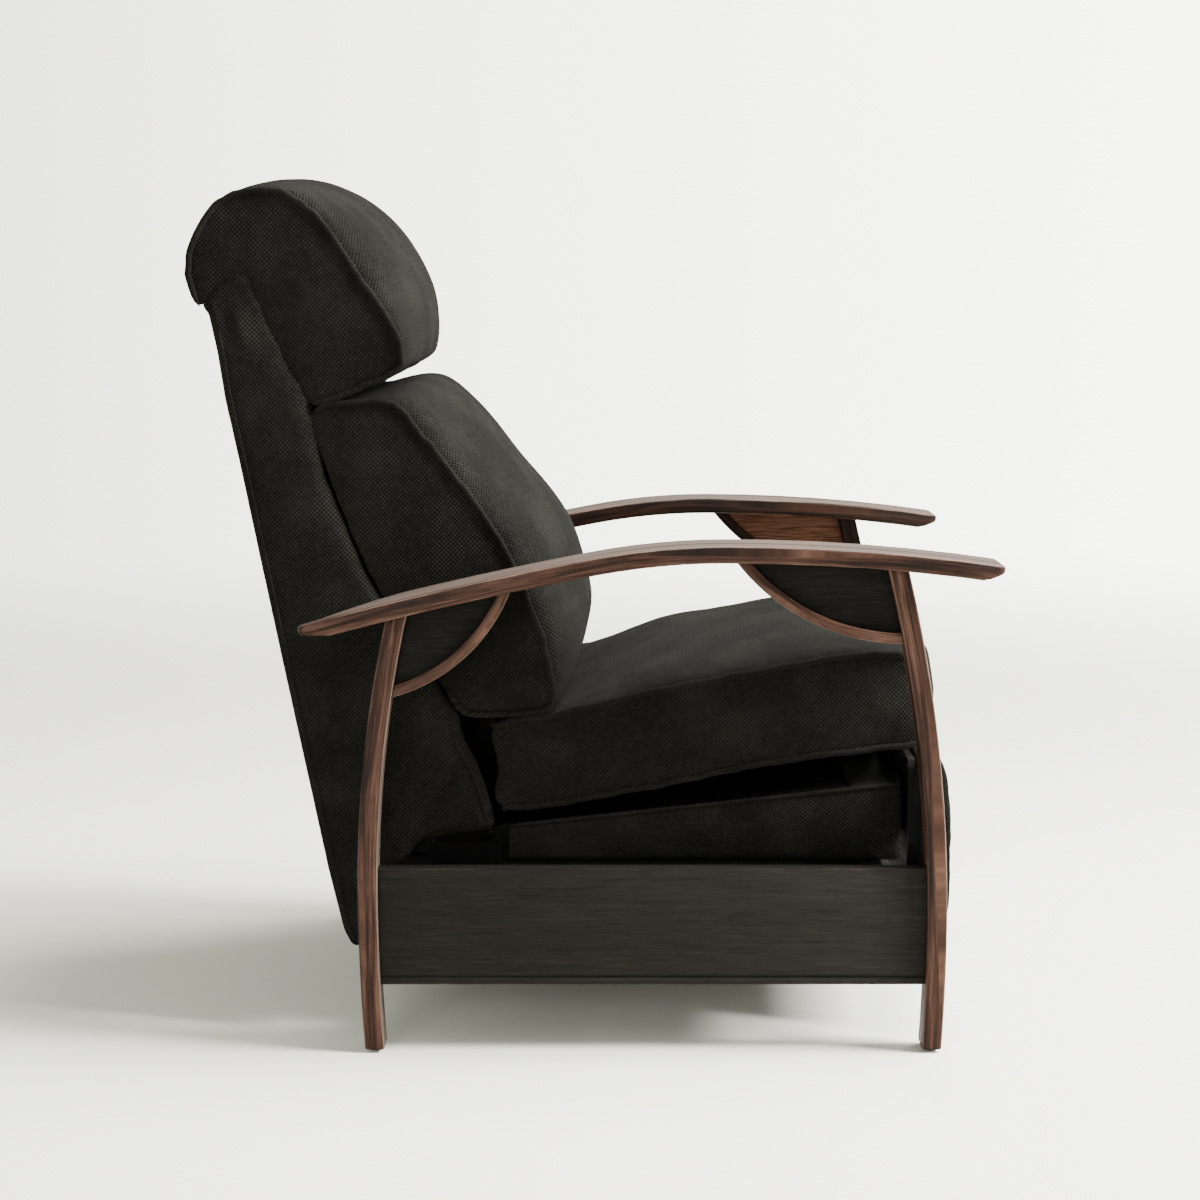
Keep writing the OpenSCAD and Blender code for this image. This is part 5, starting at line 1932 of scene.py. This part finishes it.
@dataclass
class WoodenFrame(Maker):
    """The bent arms, legs and brackets, and the flat rails, eased along their edges."""

    leg_half: float = 0.0225
    arm_mid: float = 0.342
    arm_half: float = 0.048
    leg_mid: float = 0.3525
    front_centre: Pair = (0.3790, 0.766)
    front_radius: float = 0.258
    rear_centre: Pair = (-0.2988, 0.65064)
    rear_radius: float = 0.216
    rim: float = 0.013
    rim_half: float = 0.0195
    arm_half_thick: float = 0.01025
    leg_half_thick: float = 0.012

    @staticmethod
    def fit(
        obj: bpy.types.Object,
        node: str,
        slot: str,
        material: bpy.types.Material,
        grain: Sequence[np.ndarray],
        section: Sequence[np.ndarray],
    ) -> None:
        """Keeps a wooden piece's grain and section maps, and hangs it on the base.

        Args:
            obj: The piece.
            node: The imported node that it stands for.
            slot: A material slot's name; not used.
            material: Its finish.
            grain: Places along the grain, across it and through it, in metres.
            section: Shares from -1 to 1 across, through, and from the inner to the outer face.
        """
        write_vectors(obj, GRAIN, np.column_stack(grain))
        write_vectors(obj, SECTION, np.column_stack(section))
        fit_out(obj, "base_frame", material, [node])

    def eased_copy(self, node: str, width: float, segments: int = 3) -> bpy.types.Object:
        """Copies a node, merges its loose triangles and eases its sharp edges.

        Args:
            node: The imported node.
            width: How far the easing reaches.
            segments: Faces across the easing.

        Returns:
            The copy.
        """
        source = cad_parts[node]
        copy = bpy.data.objects.new(node + "_eased", source.data.copy())
        bpy.context.scene.collection.objects.link(copy)
        select_only(copy)
        bpy.ops.object.mode_set(mode="EDIT")
        bpy.ops.mesh.select_all(action="SELECT")
        bpy.ops.mesh.remove_doubles(threshold=0.00002)
        bpy.ops.mesh.dissolve_limited(angle_limit=math.radians(0.4))
        bpy.ops.object.mode_set(mode="OBJECT")
        if copy.data.has_custom_normals:
            bpy.ops.mesh.customdata_custom_splitnormals_clear()
        ease = copy.modifiers.new("eased edges", "BEVEL")
        ease.width = width
        ease.segments = segments
        ease.limit_method = "ANGLE"
        ease.angle_limit = math.radians(38)
        ease.use_clamp_overlap = False
        apply_all(copy)
        shade_smooth(copy, 32)
        return copy

    @staticmethod
    def faces_toward(
        node: str, axis: int, sign: int, key: int, value: int
    ) -> tuple[np.ndarray, np.ndarray]:
        """The line that a node's faces toward one direction follow.

        Args:
            node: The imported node.
            axis: The axis that they face, 1 for y or 2 for z.
            sign: Which way.
            key: The axis that the line runs along.
            value: The axis that is read.

        Returns:
            Places along the line in rising order, and the values there.
        """
        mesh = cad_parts[node].data
        facing = 0.6
        found: dict[float, float] = {}
        for face in mesh.polygons:
            if face.normal[axis] * sign > facing:
                for v in face.vertices:
                    co = mesh.vertices[v].co
                    found[round(co[key], 5)] = co[value]
        keys = np.array(sorted(found))
        return keys, np.array([found[k] for k in keys])

    def arm(self, side: str, sign: int) -> None:
        """One bent arm.

        Args:
            side: left or right.
            sign: 1 on the left, -1 on the right.
        """
        node = f"arm_{side}"
        obj = self.eased_copy(node, 0.0032, 4)
        y, top = self.faces_toward(node, 2, 1, 1, 2)
        points = points_of(obj)
        run = np.interp(points[:, 1], y, running_length(np.column_stack([y, top])))
        down = np.interp(points[:, 1], y, top) - points[:, 2]
        across = points[:, 0] * sign - self.arm_mid
        grain = [run + 0.7 * (sign > 0), across, down]
        share = across / self.arm_half
        section = [share, down / self.arm_half_thick - 1, share]
        self.fit(obj, node, "bent_wood", self.finishes.bent, grain, section)

    def leg(self, name: str, sign: int) -> None:
        """One bent leg.

        Args:
            name: front_leg_left and so on.
            sign: 1 on the left, -1 on the right.
        """
        obj = self.eased_copy(name, 0.0028, 3)
        z_front, front = self.faces_toward(name, 1, -1, 2, 1)
        z_rear, rear = self.faces_toward(name, 1, 1, 2, 1)
        points = points_of(obj)
        z = points[:, 2]
        through = points[:, 1] - (np.interp(z, z_front, front) + np.interp(z, z_rear, rear)) / 2
        across = points[:, 0] * sign - self.leg_mid
        grain = [z + (1.3 if "front" in name else 2.1), across, through]
        share = across / self.leg_half
        section = [share, through / self.leg_half_thick, share]
        self.fit(obj, name, "bent_wood", self.finishes.bent, grain, section)

    def bracket_rim(self, name: str, sign: int) -> None:
        """One bent rim, with its grain round the curve.

        Args:
            name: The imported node.
            sign: 1 on the left, -1 on the right.
        """
        front = name.startswith("front")
        centre = self.front_centre if front else self.rear_centre
        radius = self.front_radius if front else self.rear_radius
        obj = self.eased_copy(name, 0.0018, 3)
        points = points_of(obj)
        f, z = -points[:, 1] - centre[0], points[:, 2] - centre[1]
        away = np.hypot(f, z)
        along = np.arctan2(f, -z) * radius
        across = points[:, 0] * sign - self.leg_mid
        through = radius - self.rim / 2 - away
        share = across / self.rim_half
        grain = [along + 3.0, across, through]
        section = [share, through / (self.rim / 2), share]
        self.fit(obj, name, "bent_wood", self.finishes.bent, grain, section)

    def board(
        self, name: str, along: int, material: bpy.types.Material, width: float = 0.0012
    ) -> None:
        """One flat board: a rail, a bracket's panel or a cross board.

        Args:
            name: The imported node.
            along: The axis that its grain runs along.
            material: Its finish.
            width: How far its edges are eased.
        """
        obj = self.eased_copy(name, width, 2)
        points = points_of(obj)
        low, high = points.min(0), points.max(0)
        middle = (low + high) / 2
        others = [k for k in range(3) if k != along]
        order = [along, 2 if along == 1 else others[0], 0 if along == 1 else others[1]]
        shift = (sum(map(ord, name)) % 17) * 0.37
        grain = [points[:, order] + np.array([shift, 0, 0])]
        section = [(points[:, k] - middle[k]) / ((high - low)[k] / 2) for k in order[1:]]
        outward = section[-1] * np.sign(middle[0]) if along == 1 else 0 * points[:, 0]
        self.fit(obj, name, "panel_wood", material, grain, [*section, outward])

    def build(self) -> None:
        """Makes every wooden piece of the base."""
        for side, sign in (("left", 1), ("right", -1)):
            self.arm(side, sign)
            for end in ("front", "rear"):
                self.leg(f"{end}_leg_{side}", sign)
                self.bracket_rim(f"{end}_bracket_rim_{side}", sign)
                self.board(f"{end}_bracket_panel_{side}", 1, self.finishes.panel)
            self.board(f"side_rail_{side}", 1, self.finishes.rail, 0.0014)
        for name in ("front_stretcher", "rear_stretcher"):
            self.board(name, 0, self.finishes.rail, 0.002)


# ---------------------------------------------------------------- springs and steel


@dataclass
class SeatSprings(Maker):
    """The zigzag wires under the deck, each one bent wire."""

    count: int = 5
    wire: float = 0.002
    reach: float = 0.0188
    pitch: float = 0.022
    half_width: float = 0.2287
    rear: float = -0.108
    front: float = 0.378
    rear_top: float = 0.246
    front_top: float = 0.292

    def bend(self, name: str, path: np.ndarray) -> bpy.types.Object:
        """Draws one wire as a round curve along a path and turns it into a mesh.

        Args:
            name: The wire's name.
            path: The points that its middle follows.

        Returns:
            The wire.
        """
        bpy.ops.object.select_all(action="DESELECT")
        bpy.ops.curve.primitive_nurbs_path_add(location=(0, 0, 0))
        wire = bpy.context.active_object
        wire.name = name
        wire.data.splines.clear()
        line = wire.data.splines.new("POLY")
        line.points.add(len(path) - 1)
        for point, place in zip(line.points, path):
            point.co = (*place, 1.0)
        wire.data.bevel_depth = self.wire
        wire.data.bevel_resolution = 2
        wire.data.use_fill_caps = True
        select_only(wire)
        bpy.ops.object.convert(target="MESH")
        wire = bpy.context.active_object
        close_up(wire)
        shade_smooth(wire, 50)
        return wire

    def build(self) -> None:
        """Bends and places the wires."""
        run = self.front - self.rear
        bends = int(run / self.pitch / 2) * 2
        middles = np.linspace(-self.half_width, self.half_width, self.count)
        for i, middle in enumerate(middles):
            t = np.linspace(0, 1, bends * 10 + 1)
            wave = np.sin(t * bends * math.pi)
            still_ends = np.clip(np.minimum(t, 1 - t) * 14, 0, 1)
            x = middle + self.reach * np.sign(wave) * np.abs(wave) ** 0.6 * still_ends
            f = self.rear + run * t
            climb = (self.front_top - self.rear_top) * (f + 0.110) / 0.490
            z = self.rear_top + climb + self.wire + 0.0001
            path = np.column_stack([x, -f, z])
            wire = self.bend(f"spring_wire_{i + 1}", resample(path, 0.0035))
            nodes = ["seat_springs"] if i == 0 else []
            fit_out(wire, "seat_carriage", self.finishes.spring, nodes)


@dataclass
class CarriedOver(Maker):
    """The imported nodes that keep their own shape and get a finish."""

    def build(self) -> None:
        """Dresses each node by the start of its name."""
        starts = {
            "glide": ("leg_glides",),
            "zinc": ("base_bolts", "base_rivets", "seat_rivets"),
            "inner_x": ("seat_box_cross", "back_cross"),
            "inner_y": ("seat_box_side", "back_stile"),
            "webbing": ("back_webbing",),
            "board": ("footrest_board",),
        }
        for name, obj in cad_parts.items():
            chosen = [finish for finish, names in starts.items() if name.startswith(names)]
            dress(obj, getattr(self.finishes, chosen[0] if chosen else "steel"))


# ---------------------------------------------------------------- stage


@dataclass
class Studio:
    """The pale floor, the soft lights and the camera at the photograph's angle."""

    floor_colour: Colour = (0.93, 0.93, 0.83)
    air_colour: Colour = (1.0, 1.0, 0.88)
    air_seen: Pair = (3.0, 7.4)
    air_glow: float = 0.75
    # painted shade: the floor's colour for bounced light, as a share of its seen colour, so it throws
    # less light onto the chair
    dimming: float = 0.42
    camera_place: Place = (-3.645, -0.0106, 0.9587)
    camera_pitch: float = 6.913
    camera_lens: float = 81.9

    def floor(self) -> None:
        """A wide round floor that fades out far from the chair, darker to bounced light as painted
        shade.
        """
        bpy.ops.object.select_all(action="DESELECT")
        bpy.ops.mesh.primitive_circle_add(
            vertices=96, radius=7.0, fill_type="NGON", location=(0, 0, 0)
        )
        floor = bpy.context.active_object
        floor.name = "floor"
        floor.data.transform(floor.matrix_world)
        floor.matrix_world.identity()
        material = bpy.data.materials.new("studio_floor")
        material.use_nodes = True
        g = Graph(material.node_tree)
        shader = g.add("ShaderNodeBsdfPrincipled")
        clear = g.add("ShaderNodeBsdfTransparent")
        joined = g.add("ShaderNodeMixShader")
        out = g.add("ShaderNodeOutputMaterial")
        solid = g.solid()
        cloud = g.noise(solid, 1.4, 3.0)
        tint = tuple(c * 0.97 for c in self.floor_colour)
        dim = tuple(c * self.dimming for c in self.floor_colour)
        # Painted shade: bounced light meets the dimmed floor colour, the camera the full one.
        path = g.add("ShaderNodeLightPath")
        colour = g.mix(path.outputs["Is Diffuse Ray"], g.mix(cloud, self.floor_colour, tint), dim)
        g.feed(shader.inputs["Base Color"], colour)
        hold(shader, Roughness=0.85, Specular_IOR_Level=0.15)
        length = g.add("ShaderNodeVectorMath", operation="LENGTH")
        g.feed(length.inputs[0], solid)
        g.feed(joined.inputs[0], g.ease(length.outputs["Value"], 1.6, 6.0))
        g.feed(joined.inputs[1], shader.outputs[0])
        g.feed(joined.inputs[2], clear.outputs[0])
        g.feed(out.inputs["Surface"], joined.outputs[0])
        floor.data.materials.append(material)

    def air(self) -> None:
        """The pale surroundings: brighter to the front as seen, and dimmer as a light."""
        world = bpy.data.worlds.new("studio_air")
        bpy.context.scene.world = world
        world.use_nodes = True
        g = Graph(world.node_tree)
        _, rearward, _ = g.split(g.add("ShaderNodeTexCoord").outputs["Generated"])
        seen = g.add("ShaderNodeBackground")
        g.feed(seen.inputs["Color"], self.air_colour)
        strength = g.ease(rearward, 0.24, -0.24, *self.air_seen, smooth=False)
        g.feed(seen.inputs["Strength"], strength)
        glow = g.add("ShaderNodeBackground")
        g.feed(glow.inputs["Color"], self.air_colour)
        hold(glow, Strength=self.air_glow)
        path = g.add("ShaderNodeLightPath")
        joined = g.add("ShaderNodeMixShader")
        g.feed(joined.inputs[0], path.outputs["Is Camera Ray"])
        g.feed(joined.inputs[1], glow.outputs[0])
        g.feed(joined.inputs[2], seen.outputs[0])
        out = g.add("ShaderNodeOutputWorld")
        g.feed(out.inputs["Surface"], joined.outputs[0])

    def lamp(self, name: str, place: Place, size: float, power: float, tint: Colour) -> None:
        """One soft square light aimed at the chair.

        Args:
            name: Its name.
            place: Where it stands.
            size: Its side.
            power: Its power in watts.
            tint: Its colour.
        """
        light = bpy.data.lights.new(name, "AREA")
        light.shape = "SQUARE"
        light.size = size
        light.energy = power
        light.color = tint
        obj = bpy.data.objects.new(name, light)
        bpy.context.scene.collection.objects.link(obj)
        obj.location = place
        aim = Vector((0.0, 0.0, 0.5)) - Vector(place)
        obj.rotation_euler = aim.to_track_quat("-Z", "Y").to_euler()

    def camera(self) -> None:
        """The camera, level with the chair's back and looking slightly down."""
        data = bpy.data.cameras.new("photo_camera")
        data.lens = self.camera_lens
        data.sensor_width = 36.0
        data.clip_end = 60.0
        obj = bpy.data.objects.new("photo_camera", data)
        obj.location = self.camera_place
        obj.rotation_euler = (math.radians(90 - self.camera_pitch), 0.0, math.radians(-90))
        bpy.context.scene.collection.objects.link(obj)
        bpy.context.scene.camera = obj

    def build(self) -> None:
        """Sets up the studio."""
        self.camera()
        self.floor()
        self.air()
        self.lamp("front_key", (-0.8, -3.5, 3.1), 1.7, 880.0, (1.0, 0.995, 0.975))
        self.lamp("top_soft", (0.3, -1.3, 4.0), 2.2, 350.0, (1.0, 0.995, 0.98))
        self.lamp("side_fill", (-3.6, 1.0, 0.8), 1.4, 62.0, (1.0, 0.995, 0.98))


def main() -> None:
    """Builds the studio and the chair."""
    logging.basicConfig(level=logging.INFO, format="%(relativeCreated)6d ms %(message)s")
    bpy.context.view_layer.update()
    Studio().build()
    finishes = Finishes()
    for maker in (CarriedOver, WoodenFrame, SeatSprings, SoftParts):
        maker(finishes).build()


if __name__ == "__main__":
    main()
